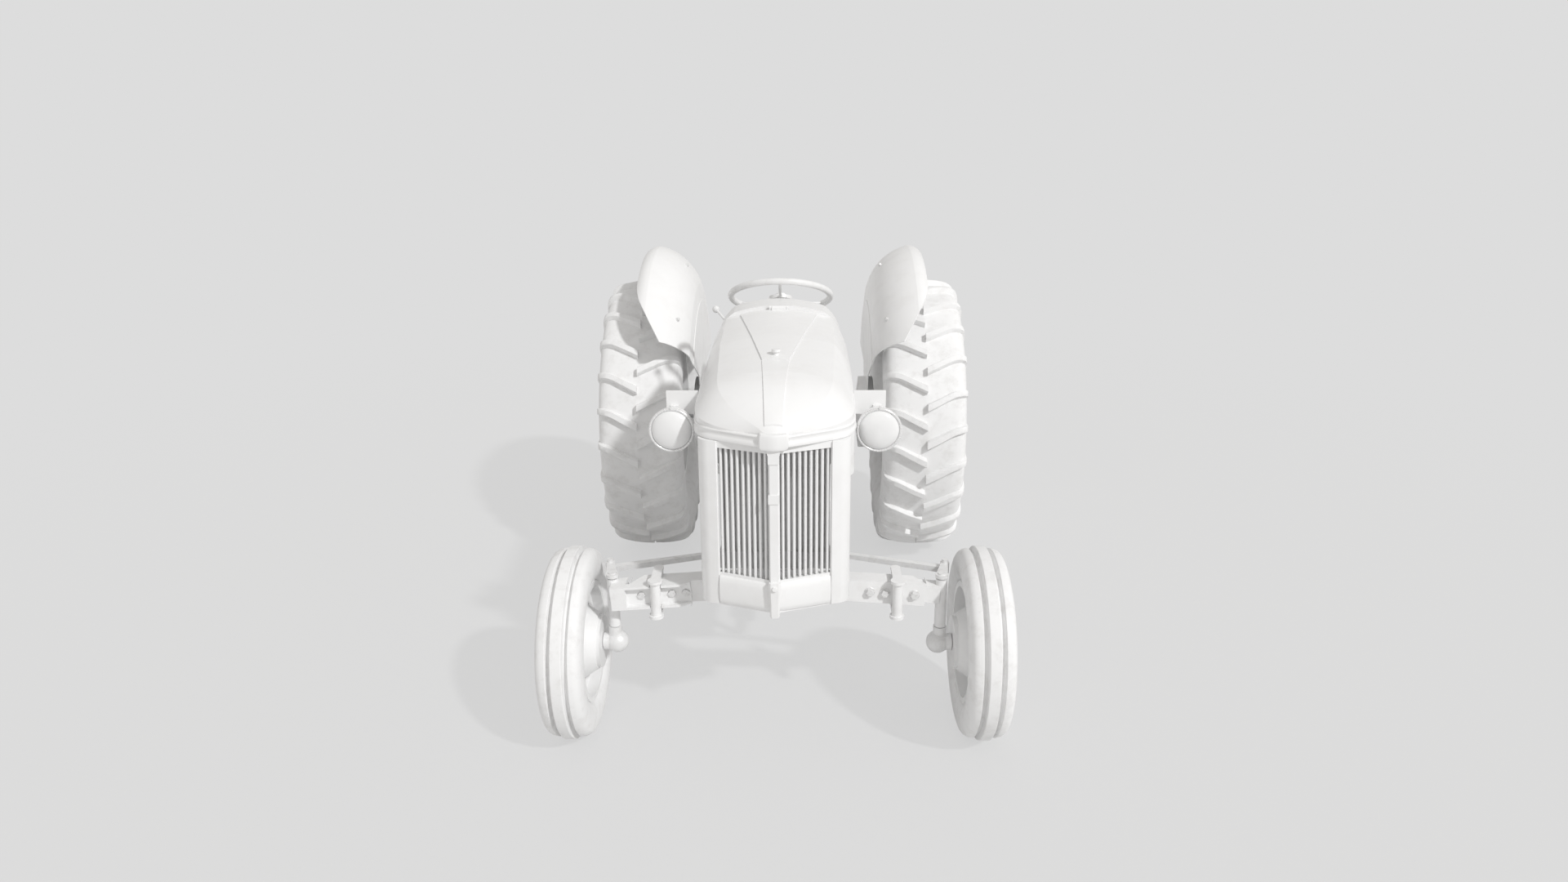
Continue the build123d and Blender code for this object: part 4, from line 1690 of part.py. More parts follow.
# Lift rods from the arms down to the lower links: round eye above, slotted eye below
ROD_EYE_X = ARM_X + ARM_T / 2 + 5
ROD_FOOT_X = LINK_INNER - 34
ROD_EYE_T = 18
SLOT_TRAVEL = 34
SLOT_SIDE = 3.4
for side, sign in SIDES:
    rod_top = (sign * (ROD_EYE_X + ROD_EYE_T / 2), along(ARM_END_BEHIND), ARM_END_Z - 18)
    rod_foot = (sign * (ROD_FOOT_X + ROD_EYE_T / 2), along(LINK_PIVOT_BEHIND + ROD_ON_LINK),
                LINK_PIVOT_Z + SLOT_TRAVEL + 16)
    with BuildPart() as lift_rod:
        with BuildSketch(side_plane(sign * ROD_EYE_X)):
            with Locations((along(ARM_END_BEHIND), ARM_END_Z)):
                Circle(24)
        extrude(amount=sign * ROD_EYE_T)
        with BuildSketch(side_plane(sign * ROD_FOOT_X)):
            with Locations((along(LINK_PIVOT_BEHIND + ROD_ON_LINK), LINK_PIVOT_Z + 6)):
                SlotOverall(2 * (SLOT_TRAVEL + 20), 44, rotation=90)
        extrude(amount=sign * ROD_EYE_T)
        with BuildSketch(rod_plane(rod_top, rod_foot)):
            Circle(13)
        extrude(amount=rod_length(rod_top, rod_foot))
        with BuildSketch(side_plane(sign * (ROD_EYE_X - 1))):
            with Locations((along(ARM_END_BEHIND), ARM_END_Z)):
                Circle(ARM_PIN_R + RUNNING)
        extrude(amount=sign * (ROD_EYE_T + 2), mode=Mode.SUBTRACT)
        with BuildSketch(side_plane(sign * (ROD_FOOT_X - 1))):
            with Locations((along(LINK_PIVOT_BEHIND + ROD_ON_LINK), LINK_PIVOT_Z + 6)):
                SlotOverall(2 * (SLOT_TRAVEL + 2), 2 * (ROD_PIN_R + SLOT_SIDE), rotation=90)
        extrude(amount=sign * (ROD_EYE_T + 2), mode=Mode.SUBTRACT)
    finish(lift_rod, f"lift_rod_{side}")
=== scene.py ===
import math

import bmesh
import bpy
import numpy as np
from mathutils import Matrix, Vector


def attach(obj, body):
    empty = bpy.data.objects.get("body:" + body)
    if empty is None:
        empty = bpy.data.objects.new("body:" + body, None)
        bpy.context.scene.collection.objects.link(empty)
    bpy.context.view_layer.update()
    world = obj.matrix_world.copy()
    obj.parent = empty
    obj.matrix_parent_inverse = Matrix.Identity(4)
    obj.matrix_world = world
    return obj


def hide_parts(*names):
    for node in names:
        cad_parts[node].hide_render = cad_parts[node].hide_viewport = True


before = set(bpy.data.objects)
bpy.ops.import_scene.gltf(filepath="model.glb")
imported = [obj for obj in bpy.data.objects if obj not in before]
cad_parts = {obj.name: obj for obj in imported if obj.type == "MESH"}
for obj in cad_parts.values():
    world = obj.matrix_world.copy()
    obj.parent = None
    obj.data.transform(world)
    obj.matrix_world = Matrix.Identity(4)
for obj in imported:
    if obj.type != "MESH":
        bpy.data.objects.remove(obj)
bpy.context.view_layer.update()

# Camera: it stands before the tractor at a walker's eye height, a little to the tractor's left,
# and looks down at the hood with a wide lens. Angles are in radians, film and lens in millimetres.
CAMERA_PLACE = Vector((0.0875, -4.4937, 2.1865))
CAMERA_PITCH, CAMERA_YAW, CAMERA_ROLL = 0.3158, -0.0175, -0.0061
FILM_WIDTH, LENS_LENGTH = 36, 24.45
ahead = Vector((math.sin(CAMERA_YAW) * math.cos(CAMERA_PITCH),
                math.cos(CAMERA_YAW) * math.cos(CAMERA_PITCH), -math.sin(CAMERA_PITCH)))
level = Vector((math.cos(CAMERA_YAW), -math.sin(CAMERA_YAW), 0))
upright = level.cross(ahead)
rolled = math.cos(CAMERA_ROLL) * level + math.sin(CAMERA_ROLL) * upright
upward = -math.sin(CAMERA_ROLL) * level + math.cos(CAMERA_ROLL) * upright
camera = bpy.data.objects.new("camera", bpy.data.cameras.new("camera"))
camera.data.sensor_width = FILM_WIDTH
camera.data.lens = LENS_LENGTH
camera.matrix_world = Matrix.Translation(CAMERA_PLACE) @ Matrix((
    (rolled.x, upward.x, -ahead.x), (rolled.y, upward.y, -ahead.y),
    (rolled.z, upward.z, -ahead.z))).to_4x4()
bpy.context.scene.collection.objects.link(camera)
bpy.context.scene.camera = camera
bpy.context.scene.view_settings.view_transform = "Standard"


# Every finish is worked out from the place on the tractor, in metres.
class Wire:
    """An output socket of a finish. Arithmetic on it adds Math nodes."""

    def __init__(self, finish, socket):
        self.finish, self.socket = finish, socket

    def maths(self, operation, *values):
        return self.finish.node("ShaderNodeMath", {"operation": operation}, dict(enumerate(values)))

    def __add__(self, other):
        return self.maths("ADD", self, other)

    def __mul__(self, other):
        return self.maths("MULTIPLY", self, other)

    def step(self, low, high):
        """0 below low, 1 above high, and a smooth ramp between them."""
        return self.finish.node("ShaderNodeMapRange", {"interpolation_type": "SMOOTHSTEP"},
                                {"Value": self, "From Min": low, "From Max": high})

    __radd__, __rmul__ = __add__, __mul__


class Finish:
    """A material on one Principled shader, with the place in metres as its pattern's coordinate."""

    def __init__(self, name, **even):
        self.material = bpy.data.materials.new(name)
        self.material.use_nodes = True
        self.tree = self.material.node_tree
        self.shader = self.tree.nodes["Principled BSDF"]
        for key, value in even.items():
            self.shader.inputs[key.replace("_", " ")].default_value = value
        self.place = self.node("ShaderNodeTexCoord", {}, {}, "Object")

    def node(self, kind, settings, values, output=0):
        """A node with its settings and its sockets' values or links; returns one of its outputs."""
        made = self.tree.nodes.new(kind)
        for key, value in settings.items():
            setattr(made, key, value)
        for key, value in values.items():
            if isinstance(value, Wire):
                self.tree.links.new(value.socket, made.inputs[key])
            else:
                made.inputs[key].default_value = value
        return Wire(self, made.outputs[output])

    def noise(self, scale, detail=2.0, rough=0.5):
        """Cloudy values about 0.5, with this many clouds in a metre."""
        return self.node("ShaderNodeTexNoise", {}, {"Vector": self.place, "Scale": scale,
                                                    "Detail": detail, "Roughness": rough})

    def tint(self, share, under, over):
        """Colour between under and over by share."""
        return self.node("ShaderNodeMix", {"data_type": "RGBA"}, {0: share, 6: under, 7: over}, 2)

    def split(self):
        """X, Y and Z of the place."""
        parts = self.tree.nodes.new("ShaderNodeSeparateXYZ")
        self.tree.links.new(self.place.socket, parts.inputs[0])
        return [Wire(self, out) for out in parts.outputs]

    def set(self, key, value):
        """Gives one socket of the shader a value or a link."""
        if isinstance(value, Wire):
            self.tree.links.new(value.socket, self.shader.inputs[key])
        else:
            self.shader.inputs[key].default_value = value

    def relief(self, height, depth, strength):
        """Bump of this depth in metres."""
        return self.node("ShaderNodeBump", {},
                         {"Height": height, "Distance": depth, "Strength": strength})


def grey(value, warmth=0.0):
    """A grey of this lightness, with red added and blue taken away by warmth."""
    return (value + warmth, value, value - warmth, 1.0)


def dress(material, *nodes):
    """Gives CAD nodes a finish."""
    for name in nodes:
        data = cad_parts[name].data
        data.materials.clear()
        data.materials.append(material)


# Floor and light: a pale grey floor that runs out of sight, a key light high on the image's right,
# and an even sky.
FLOOR_TONE = 0.723
FLOOR_HALF = 60
FADE_START, FADE_END = 2.0, 7.0
NEAR_GLOW = 0.78
SKY_TINT, SKY_STRENGTH = (1.0, 0.985, 0.965, 1.0), 0.60
KEY_WAY, KEY_STRENGTH, KEY_SPREAD = (-0.62, 0.62, -0.72), 1.8, math.radians(3)
floor_mesh = bpy.data.meshes.new("floor")
floor_mesh.from_pydata([(-FLOOR_HALF, -FLOOR_HALF, 0), (FLOOR_HALF, -FLOOR_HALF, 0),
                        (FLOOR_HALF, FLOOR_HALF, 0), (-FLOOR_HALF, FLOOR_HALF, 0)], [], [(0, 1, 2, 3)])
floor = bpy.data.objects.new("floor", floor_mesh)
bpy.context.scene.collection.objects.link(floor)
floor_finish = Finish("floor_tone", Roughness=1.0, Specular_IOR_Level=0.0)
floor_finish.set("Base Color", grey(FLOOR_TONE))
across, along, _ = floor_finish.split()
far = across.maths("SQRT", across * across + along * along).step(FADE_START, FADE_END)
seen = floor_finish.node("ShaderNodeLightPath", {}, {}, "Is Camera Ray")
glow = floor_finish.node("ShaderNodeEmission", {}, {"Color": grey(FLOOR_TONE), "Strength": 1.0})
lit = Wire(floor_finish, floor_finish.shader.outputs[0])
shown = floor_finish.node("ShaderNodeMixShader", {},
                          {0: seen * (far * (1 - NEAR_GLOW) + NEAR_GLOW), 1: lit, 2: glow})
floor_finish.tree.links.new(shown.socket, floor_finish.tree.nodes["Material Output"].inputs["Surface"])
floor_mesh.materials.append(floor_finish.material)

world = bpy.data.worlds.new("studio")
bpy.context.scene.world = world
world.use_nodes = True
sky = world.node_tree.nodes["Background"]
sky.inputs["Color"].default_value = SKY_TINT
sky.inputs["Strength"].default_value = SKY_STRENGTH
backdrop = world.node_tree.nodes.new("ShaderNodeBackground")
backdrop.inputs["Color"].default_value = grey(FLOOR_TONE)
path = world.node_tree.nodes.new("ShaderNodeLightPath")
mixed = world.node_tree.nodes.new("ShaderNodeMixShader")
link = world.node_tree.links.new
link(path.outputs["Is Camera Ray"], mixed.inputs[0])
link(sky.outputs[0], mixed.inputs[1])
link(backdrop.outputs[0], mixed.inputs[2])
link(mixed.outputs[0], world.node_tree.nodes["World Output"].inputs["Surface"])

key_light = bpy.data.objects.new("key_light", bpy.data.lights.new("key_light", "SUN"))
key_light.data.energy = KEY_STRENGTH
key_light.data.angle = KEY_SPREAD
key_light.rotation_mode = "QUATERNION"
key_light.rotation_quaternion = Vector(KEY_WAY).to_track_quat("-Z", "Y")
bpy.context.scene.collection.objects.link(key_light)

# Enamel on the pressed sheet panels: smooth coats with faint orange peel, dulled in clouds
# where dust has settled.
enamel = Finish("enamel", Coat_Weight=0.25, Coat_Roughness=0.12)
peel = enamel.noise(420, 2)
dust = enamel.noise(9, 4, 0.6).step(0.42, 0.72)
enamel.set("Base Color", enamel.tint(dust * 0.5, grey(0.90), grey(0.83, 0.006)))
enamel.set("Roughness", dust * 0.22 + 0.34)
enamel.set("Normal", enamel.relief(peel, 0.00025, 0.35))
dress(enamel.material, "hood", "hood_door", "dash_cowl", "grille_shell", "fenders", "headlamps",
      "front_rim_left", "front_rim_right", "rear_rim_left", "rear_rim_right", "grille_bars")

# Painted castings: the sand of the mould shows through the paint.
casting = Finish("painted_casting")
sand = casting.noise(520, 3, 0.6)
lumps = casting.noise(60, 2)
grime = casting.noise(14, 4, 0.6).step(0.45, 0.75)
casting.set("Base Color", casting.tint(grime * 0.6, grey(0.88), grey(0.78, 0.008)))
casting.set("Roughness", grime * 0.2 + 0.5)
casting.set("Normal", casting.relief(sand + lumps * 2, 0.0006, 0.5))
dress(casting.material, "engine_block", "transmission_case", "rear_housing", "lift_cover",
      "axle_housings", "front_support", "axle_center", "axle_arms", "axle_clamps", "steering_column",
      "generator_starter")


def coat(name, clean, worn, clouds, grain, depth, rough, **even):
    """Finish with wear from clean to worn, in this many clouds in a metre, over a grain of this many
    bumps in a metre and this depth in metres. Worn places are rougher by 0.2."""
    made = Finish(name, **even)
    wear = made.noise(clouds, 4, 0.6).step(0.45, 0.75)
    made.set("Base Color", made.tint(wear, grey(clean), grey(worn, 0.006)))
    made.set("Roughness", wear * 0.2 + rough)
    made.set("Normal", made.relief(made.noise(grain, 3), depth, 0.5))
    return made


# Forged rods, arms and links: scale from the hammer under thin paint that is worn in clouds.
forged = coat("forged_steel", 0.84, 0.74, 40, 300, 0.0008, 0.38, Metallic=0.15)
dress(forged.material, "knuckle_left", "knuckle_right", "steering_relay", "track_rod_left",
      "track_rod_right", "pitman_arm", "drag_link", "lift_arms", "lift_rod_left", "lift_rod_right",
      "lower_link_left", "lower_link_right")

# Manifold and muffler: bare cast iron and sheet, coarse and dull from heat.
iron = coat("heated_iron", 0.78, 0.62, 18, 420, 0.0012, 0.62)
dress(iron.material, "manifold_exhaust")

# Radiator: a core of thin upright fins between its tanks. A sine over the width makes the fins. Its
# angle grows by 2200 radians in a metre, so they stand 2.9 mm apart.
FIN_ANGLE = 2200
core = coat("radiator_core", 0.72, 0.60, 30, 500, 0.0004, 0.5, Metallic=0.2)
fin_angle = core.split()[0] * FIN_ANGLE
core.set("Normal", core.relief(fin_angle.maths("SINE", fin_angle), 0.0010, 0.7))
dress(core.material, "radiator")

# Pressed seat, tank, fan and air cleaner: enamel on thin sheet, rubbed dull in clouds.
sheet = coat("thin_sheet_enamel", 0.86, 0.76, 11, 380, 0.0003, 0.36,
             Coat_Weight=0.2, Coat_Roughness=0.2)
dress(sheet.material, "seat", "fuel_tank", "fan", "air_cleaner")

# Pedals, foot plates and levers: thick brush paint, scuffed in clouds.
scuffed = coat("scuffed_paint", 0.82, 0.66, 26, 240, 0.0007, 0.5)
dress(scuffed.material, "controls")

# Rubber: matt, finely pitted and scuffed in clouds on the tyres, smoother and harder on the steering
# wheel.
rubber = Finish("tyre_rubber")
grain = rubber.noise(700, 3, 0.6)
scuff = rubber.noise(22, 4, 0.65).step(0.45, 0.7)
rubber.set("Base Color", rubber.tint(scuff, grey(0.87), grey(0.80, 0.004)))
rubber.set("Roughness", scuff * 0.15 + 0.65)
rubber.set("Normal", rubber.relief(grain, 0.0005, 0.5))
dress(rubber.material, "front_tyre_left", "front_tyre_right", "rear_tyre_left", "rear_tyre_right")
hard_rubber = coat("hard_rubber", 0.84, 0.78, 35, 150, 0.0002, 0.3)
dress(hard_rubber.material, "steering_wheel")

# Rear tyres: a cord-built casing with a rounded section, and on its tread two rows of long rubber
# bars that meet in a V at the middle, staggered by half a pitch, and run over the shoulders.
def ring_faces(rings, count, around=False):
    """Quads between neighbouring closed rings of points; around joins the last ring to the first."""
    ring, corner = np.meshgrid(np.arange(rings if around else rings - 1), np.arange(count), indexing="ij")
    next_ring, next_corner = (ring + 1) % rings, (corner + 1) % count
    return np.stack((ring * count + corner, ring * count + next_corner,
                     next_ring * count + next_corner, next_ring * count + corner), -1).reshape(-1, 4)


def tube(rings, count):
    """Walls between neighbouring closed rings of points, and a cap on the first and the last ring."""
    last = (rings - 1) * count
    return ring_faces(rings, count).tolist() + [list(range(count))[::-1],
                                                [last + corner for corner in range(count)]]


def piece(name, shapes, finish, body, sharp=32):
    """One object from several (vertices, faces) pairs, smooth but for edges sharper than this many
    degrees."""
    vertices, faces, base = [], [], 0
    for points, polygons in shapes:
        vertices.append(np.asarray(points, float).reshape(-1, 3))
        faces += (np.asarray(polygons) + base).tolist() if isinstance(polygons, np.ndarray) else [
            [corner + base for corner in polygon] for polygon in polygons]
        base += len(vertices[-1])
    mesh = bpy.data.meshes.new(name)
    mesh.from_pydata(np.concatenate(vertices), [], faces)
    whole = bmesh.new()
    whole.from_mesh(mesh)
    bmesh.ops.remove_doubles(whole, verts=whole.verts, dist=2e-6)
    whole.to_mesh(mesh)
    whole.free()
    mesh.polygons.foreach_set("use_smooth", np.ones(len(mesh.polygons), bool))
    mesh.set_sharp_from_angle(angle=math.radians(sharp))
    mesh.materials.append(finish.material)
    made = bpy.data.objects.new(name, mesh)
    bpy.context.scene.collection.objects.link(made)
    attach(made, body)
    return made


def turned(profile, centre, segments, basis=np.eye(3)):
    """Closed profile of (across, radius) points turned about an axis through centre: X, or the first
    row of basis, whose rows say where the shape's own X, Y and Z point."""
    profile = np.asarray(profile, float)
    turn = np.linspace(0, 2 * np.pi, segments, endpoint=False)[:, None]
    points = np.stack((profile[:, 0] + 0 * turn, -profile[:, 1] * np.cos(turn),
                       profile[:, 1] * np.sin(turn)), -1) @ basis + centre
    return points, ring_faces(segments, len(profile), True)


def smooth_line(marks, count):
    """Points evenly spread along a curve through the marks, rounded at each by a Catmull-Rom cubic."""
    marks = np.asarray(marks, float)
    ends = np.concatenate((2 * marks[:1] - marks[1:2], marks, 2 * marks[-1:] - marks[-2:-1]))
    share = np.linspace(0, len(marks) - 1, count * 8)
    step = np.minimum(share.astype(int), len(marks) - 2)
    far = (share - step)[:, None]
    before, start, end, after = (ends[step + shift] for shift in range(4))
    fine = 0.5 * (2 * start + (end - before) * far + (2 * before - 5 * start + 4 * end - after) * far ** 2
                  + (3 * start - before - 3 * end + after) * far ** 3)
    length = np.concatenate(([0], np.cumsum(np.linalg.norm(np.diff(fine, axis=0), axis=1))))
    even = np.linspace(0, length[-1], count)
    return np.stack([np.interp(even, length, fine[:, axis]) for axis in range(fine.shape[1])], -1)


# the left wheel's centre: across, along, up
REAR_WHEEL = (0.647, 0.656, 0.660)
LUGS_PER_ROW = 24
# columns: distance out from the middle, radius of the bar's top, radius of its foot, rise up the tread
LUG_RUN = ((0.000, 0.6590, 0.628, 0.017), (0.060, 0.6565, 0.626, 0.047), (0.118, 0.6490, 0.619, 0.077),
           (0.155, 0.6380, 0.606, 0.087), (0.177, 0.6200, 0.580, 0.090), (0.1855, 0.5950, 0.548, 0.091),
           (0.1880, 0.5620, 0.530, 0.091), (0.1870, 0.5350, 0.520, 0.091))
LUG_TOP_HALF = 0.0155
LUG_FOOT_HALF = 0.0215
LUG_EDGE = 0.0022
LUG_LEAN = 0.0006
LUG_TAPER = 0.8
LUG_PHASES = ((1, math.radians(1.2)), (-1, math.radians(8.7)))
# columns: distance out from the middle, radius
CASING_HALF = ((0.000, 0.6320), (0.060, 0.6300), (0.118, 0.6245), (0.150, 0.6160), (0.171, 0.6000),
               (0.182, 0.5700), (0.1875, 0.5300), (0.1865, 0.4850), (0.176, 0.4350), (0.150, 0.3980),
               (0.130, 0.3820))
REAR_BEAD = ((0.122, 0.3565), (-0.122, 0.3565))
casing_side = smooth_line(CASING_HALF, 26)
casing_section = np.concatenate((casing_side[::-1] * (-1, 1), casing_side[1:], REAR_BEAD))


def lug(flank, turn):
    """One bar: its cross-section, a trapezium with eased top edges, carried from the middle of the
    tread out over the shoulder. Feet and tops follow their own radii, and all points turn together."""
    run = smooth_line(LUG_RUN, 22)
    out, top, foot, rise = run.T
    taper = np.linspace(1, LUG_TAPER, len(run))
    across = np.stack((-LUG_FOOT_HALF * taper, -(LUG_TOP_HALF + LUG_LEAN) * taper,
                       -(LUG_TOP_HALF - LUG_EDGE) * taper, (LUG_TOP_HALF - LUG_EDGE) * taper,
                       (LUG_TOP_HALF + LUG_LEAN) * taper, LUG_FOOT_HALF * taper), -1)
    radius = np.stack((foot, top - LUG_EDGE, top, top, top - LUG_EDGE, foot), -1)
    angle = turn + (rise[:, None] + across) / REAR_WHEEL[2]
    points = np.stack((np.broadcast_to(flank * out[:, None], radius.shape),
                       -radius * np.cos(angle), radius * np.sin(angle)), -1)
    faces = tube(len(run), radius.shape[1])
    if flank < 0:
        faces = [face[::-1] for face in faces]
    return points, faces


for side, sign in (("left", 1), ("right", -1)):
    centre = np.array((sign * REAR_WHEEL[0], REAR_WHEEL[1], REAR_WHEEL[2]))
    shapes = [turned(casing_section, centre, 144)]
    for flank, phase in LUG_PHASES:
        for number in range(LUGS_PER_ROW):
            points, faces = lug(flank, phase + number * 2 * math.pi / LUGS_PER_ROW)
            shapes.append((points + centre, faces))
    tyre = piece(f"rear_lug_tyre_{side}", shapes, rubber, f"rear_wheel_{side}", 40)
    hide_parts(f"rear_tyre_{side}")

# Front tyres: plain ribbed casings. A broad middle rib and two shoulder ribs are moulded in one with
# the casing, with deep grooves between them.
FRONT_AXLE_Y = -1.122
# the left wheel's centre: across, along, up
FRONT_WHEEL = (0.715, FRONT_AXLE_Y, 0.338)
# columns: distance out from the middle, radius
RIB_HALF = ((0.0000, 0.3380), (0.0170, 0.3376), (0.0192, 0.3352), (0.0212, 0.3160), (0.0235, 0.3120),
            (0.0300, 0.3118), (0.0338, 0.3150), (0.0362, 0.3262), (0.0385, 0.3290), (0.0520, 0.3268))
FLANK_HALF = ((0.0520, 0.3268), (0.0655, 0.3190), (0.0740, 0.3030), (0.0785, 0.2790), (0.0775, 0.2540),
              (0.0715, 0.2320), (0.0640, 0.2195))
FRONT_BEAD = ((0.0600, 0.2165), (0.0600, 0.2005), (-0.0600, 0.2005), (-0.0600, 0.2165))
front_side = np.concatenate((RIB_HALF, smooth_line(FLANK_HALF, 18)[1:]))
front_section = np.concatenate((front_side[::-1] * (-1, 1), front_side[1:], FRONT_BEAD))
for side, sign in (("left", 1), ("right", -1)):
    centre = np.array((sign * FRONT_WHEEL[0], FRONT_WHEEL[1], FRONT_WHEEL[2]))
    tyre = piece(f"ribbed_tyre_{side}", [turned(front_section, centre, 160)], rubber,
                 f"front_wheel_{side}", 30)
    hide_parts(f"front_tyre_{side}")


# Hood edge: the lower edge of the pressed hood is folded out and rolled into a two-step band that runs
# from the cowl round the nose, where a cast nose piece closes it.
def stack(outline, rings, base, right, up):
    """Closed form over an outline: each ring is (scale, height) of the outline, in the plane of right
    and up, and heights run along right x up."""
    outline = np.asarray(outline, float)
    middle = outline.mean(0)
    right, up = np.asarray(right, float), np.asarray(up, float)
    out = np.cross(right, up)
    points = np.stack([base + (middle + (outline - middle) * scale) @ np.stack((right, up)) + out * rise
                       for scale, rise in rings])
    return points, tube(len(rings), len(outline))


def beside(path):
    """Unit vectors that are level and square to a path, on its left."""
    heading = np.gradient(path, axis=0)
    heading /= np.linalg.norm(heading, axis=1)[:, None]
    return np.column_stack((-heading[:, 1], heading[:, 0], np.zeros(len(path))))


def swept(section, path, outward):
    """Closed section of (out, up) points carried along a path, with its own out at each place."""
    section = np.asarray(section, float)
    points = (path[:, None] + section[None, :, :1] * outward[:, None]
              + section[None, :, 1:] * np.array((0.0, 0.0, 1.0)))
    return points, tube(len(path), len(section))


HOOD_BASE = 1.1453
# columns: half width of the hood's lower edge, distance behind the front axle
HOOD_EDGE = ((0.258, 0.716), (0.261, 0.360), (0.258, 0.000), (0.256, -0.050), (0.246, -0.100),
             (0.214, -0.150), (0.130, -0.200), (0.032, -0.2505))
EDGE_SECTION = ((-0.004, 0.0000), (0.0075, 0.0000), (0.0095, 0.0020), (0.0100, 0.0060), (0.0092, 0.0125),
                (0.0062, 0.0160), (0.0050, 0.0185), (0.0052, 0.0270), (0.0068, 0.0295), (0.0075, 0.0330),
                (0.0060, 0.0360), (0.0010, 0.0375), (-0.004, 0.0375))
edge_half = smooth_line(HOOD_EDGE, 90)
edge_plan = np.concatenate((edge_half, edge_half[::-1] * (-1, 1)))
edge_path = np.column_stack((edge_plan[:, 0], FRONT_AXLE_Y + edge_plan[:, 1],
                             np.full(len(edge_plan), HOOD_BASE)))
# columns: across, behind the foot's place and, where negative, ahead of it
NOSE_PLAN = ((-0.047, 0.030), (-0.047, -0.006), (-0.042, -0.0135), (-0.018, -0.0205), (0.0, -0.0235),
             (0.018, -0.0205), (0.042, -0.0135), (0.047, -0.006), (0.047, 0.030))
NOSE_RINGS = ((0.70, 0.0000), (0.88, 0.0022), (0.97, 0.0065), (1.00, 0.0125), (1.00, 0.0440),
              (0.97, 0.0490), (0.88, 0.0525))
NOSE_FOOT = np.array((0, FRONT_AXLE_Y - 0.2510, 1.1375))
piece("hood_edge", [swept(EDGE_SECTION, edge_path, beside(edge_path)),
                    stack(NOSE_PLAN, NOSE_RINGS, NOSE_FOOT, (1, 0, 0), (0, 1, 0))],
      enamel, "chassis", 35)

# Lamp rims and lenses: a rolled bright ring with a clamp screw holds a domed pressed glass.
RING_R, RING_AHEAD, RING_WIRE = 0.0715, 0.0055, (0.0058, 0.0048)
LENS_R, LENS_BULGE = 0.0668, 0.026
SCREW_R, SCREW_FROM_LAMP = 0.0035, (0, 0.002, 0.077)
# rows: where a turned shape's own X, Y and Z point, so that its axis faces ahead
FORWARD = np.array(((0.0, -1.0, 0.0), (1.0, 0.0, 0.0), (0.0, 0.0, 1.0)))
LAMP_PLACES = ((0.343, -1.132, 1.128), (-0.343, -1.132, 1.128))
chrome = Finish("bright_ring", Metallic=0.35)
haze = chrome.noise(60, 3).step(0.4, 0.7)
chrome.set("Base Color", chrome.tint(haze, grey(0.88), grey(0.80)))
chrome.set("Roughness", haze * 0.15 + 0.2)
turn = np.linspace(0, 2 * np.pi, 24, endpoint=False)
ring_section = np.column_stack((RING_AHEAD - RING_WIRE[0] * np.cos(turn),
                                RING_R + RING_WIRE[1] * np.sin(turn)))
lens = Finish("lens_glass", Roughness=0.15, Coat_Weight=0.6, Coat_Roughness=0.06)
ripple = lens.noise(150, 2)
lens.set("Base Color", lens.tint(lens.noise(12, 2).step(0.4, 0.7), grey(0.86), grey(0.90)))
lens.set("Normal", lens.relief(ripple, 0.0006, 0.4))
rise = np.linspace(np.pi / 2, 0, 22)
dome = np.column_stack((0.004 + LENS_BULGE * np.cos(rise), LENS_R * np.sin(rise)))
lens_section = np.concatenate(([(-0.027, 0.0), (-0.006, 0.0660)], dome))
rings = [turned(ring_section, np.array(place), 96, FORWARD) for place in LAMP_PLACES]
twelfths = np.arange(12) * math.pi / 6
screw_plan = SCREW_R * np.column_stack((np.cos(twelfths), np.sin(twelfths)))
screws = [stack(screw_plan, ((1, 0), (1, 0.016), (0.7, 0.0175)), np.array(place) + SCREW_FROM_LAMP,
                (1, 0, 0), (0, 0, 1)) for place in LAMP_PLACES]
piece("lamp_rims", rings + screws, chrome, "chassis", 30)
glass = piece("domed_lenses", [turned(lens_section, np.array(place), 72, FORWARD)
                               for place in LAMP_PLACES], lens, "chassis", 50)
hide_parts("lamp_lenses")


# Bolts and nuts: hexagon heads on washers, where the panels and wheels are held.
def bolt(place, outward, across, height):
    """Hexagon head of this width across its flats, with eased corners, on a washer that is 1.44 times
    as wide, facing outward."""
    outward = np.asarray(outward, float) / np.linalg.norm(outward)
    right = np.cross((0.0, 0.0, 1.0) if abs(outward[2]) < 0.9 else (0.0, 1.0, 0.0), outward)
    right /= np.linalg.norm(right)
    up = np.cross(outward, right)
    six, round_edge = np.arange(6) * math.pi / 3, np.arange(18) * math.pi / 9
    hexagon = np.column_stack((np.cos(six), np.sin(six))) * across / math.sqrt(3)
    disc = np.column_stack((np.cos(round_edge), np.sin(round_edge))) * across * 0.72
    place = np.asarray(place, float)
    return [stack(disc, ((1, -0.002), (1, height * 0.16), (0.95, height * 0.22)), place, right, up),
            stack(hexagon, ((1, height * 0.1), (1, height * 0.85), (0.86, height)), place, right, up)]


zinc = Finish("plated_fastener", Metallic=0.25)
tarnish = zinc.noise(90, 3, 0.6).step(0.4, 0.7)
zinc.set("Base Color", zinc.tint(tarnish, grey(0.82), grey(0.68, 0.006)))
zinc.set("Roughness", tarnish * 0.25 + 0.3)
# columns: place on the left fender, way that it faces
FENDER_BOLTS = (((0.4660, 0.1830, 1.2279), (-0.771, -0.412, 0.485)),
                ((0.4660, 0.6457, 1.3986), (-0.772, -0.006, 0.636)),
                ((0.4640, 1.0300, 1.2700), (-0.780, 0.380, 0.500)))
fender_heads = []
for place, facing in FENDER_BOLTS:
    for sign in (1, -1):
        fender_heads += bolt(np.array(place) * (sign, 1, 1), np.array(facing) * (sign, 1, 1), 0.014, 0.009)
piece("fender_bolts", fender_heads, zinc, "chassis", 25)

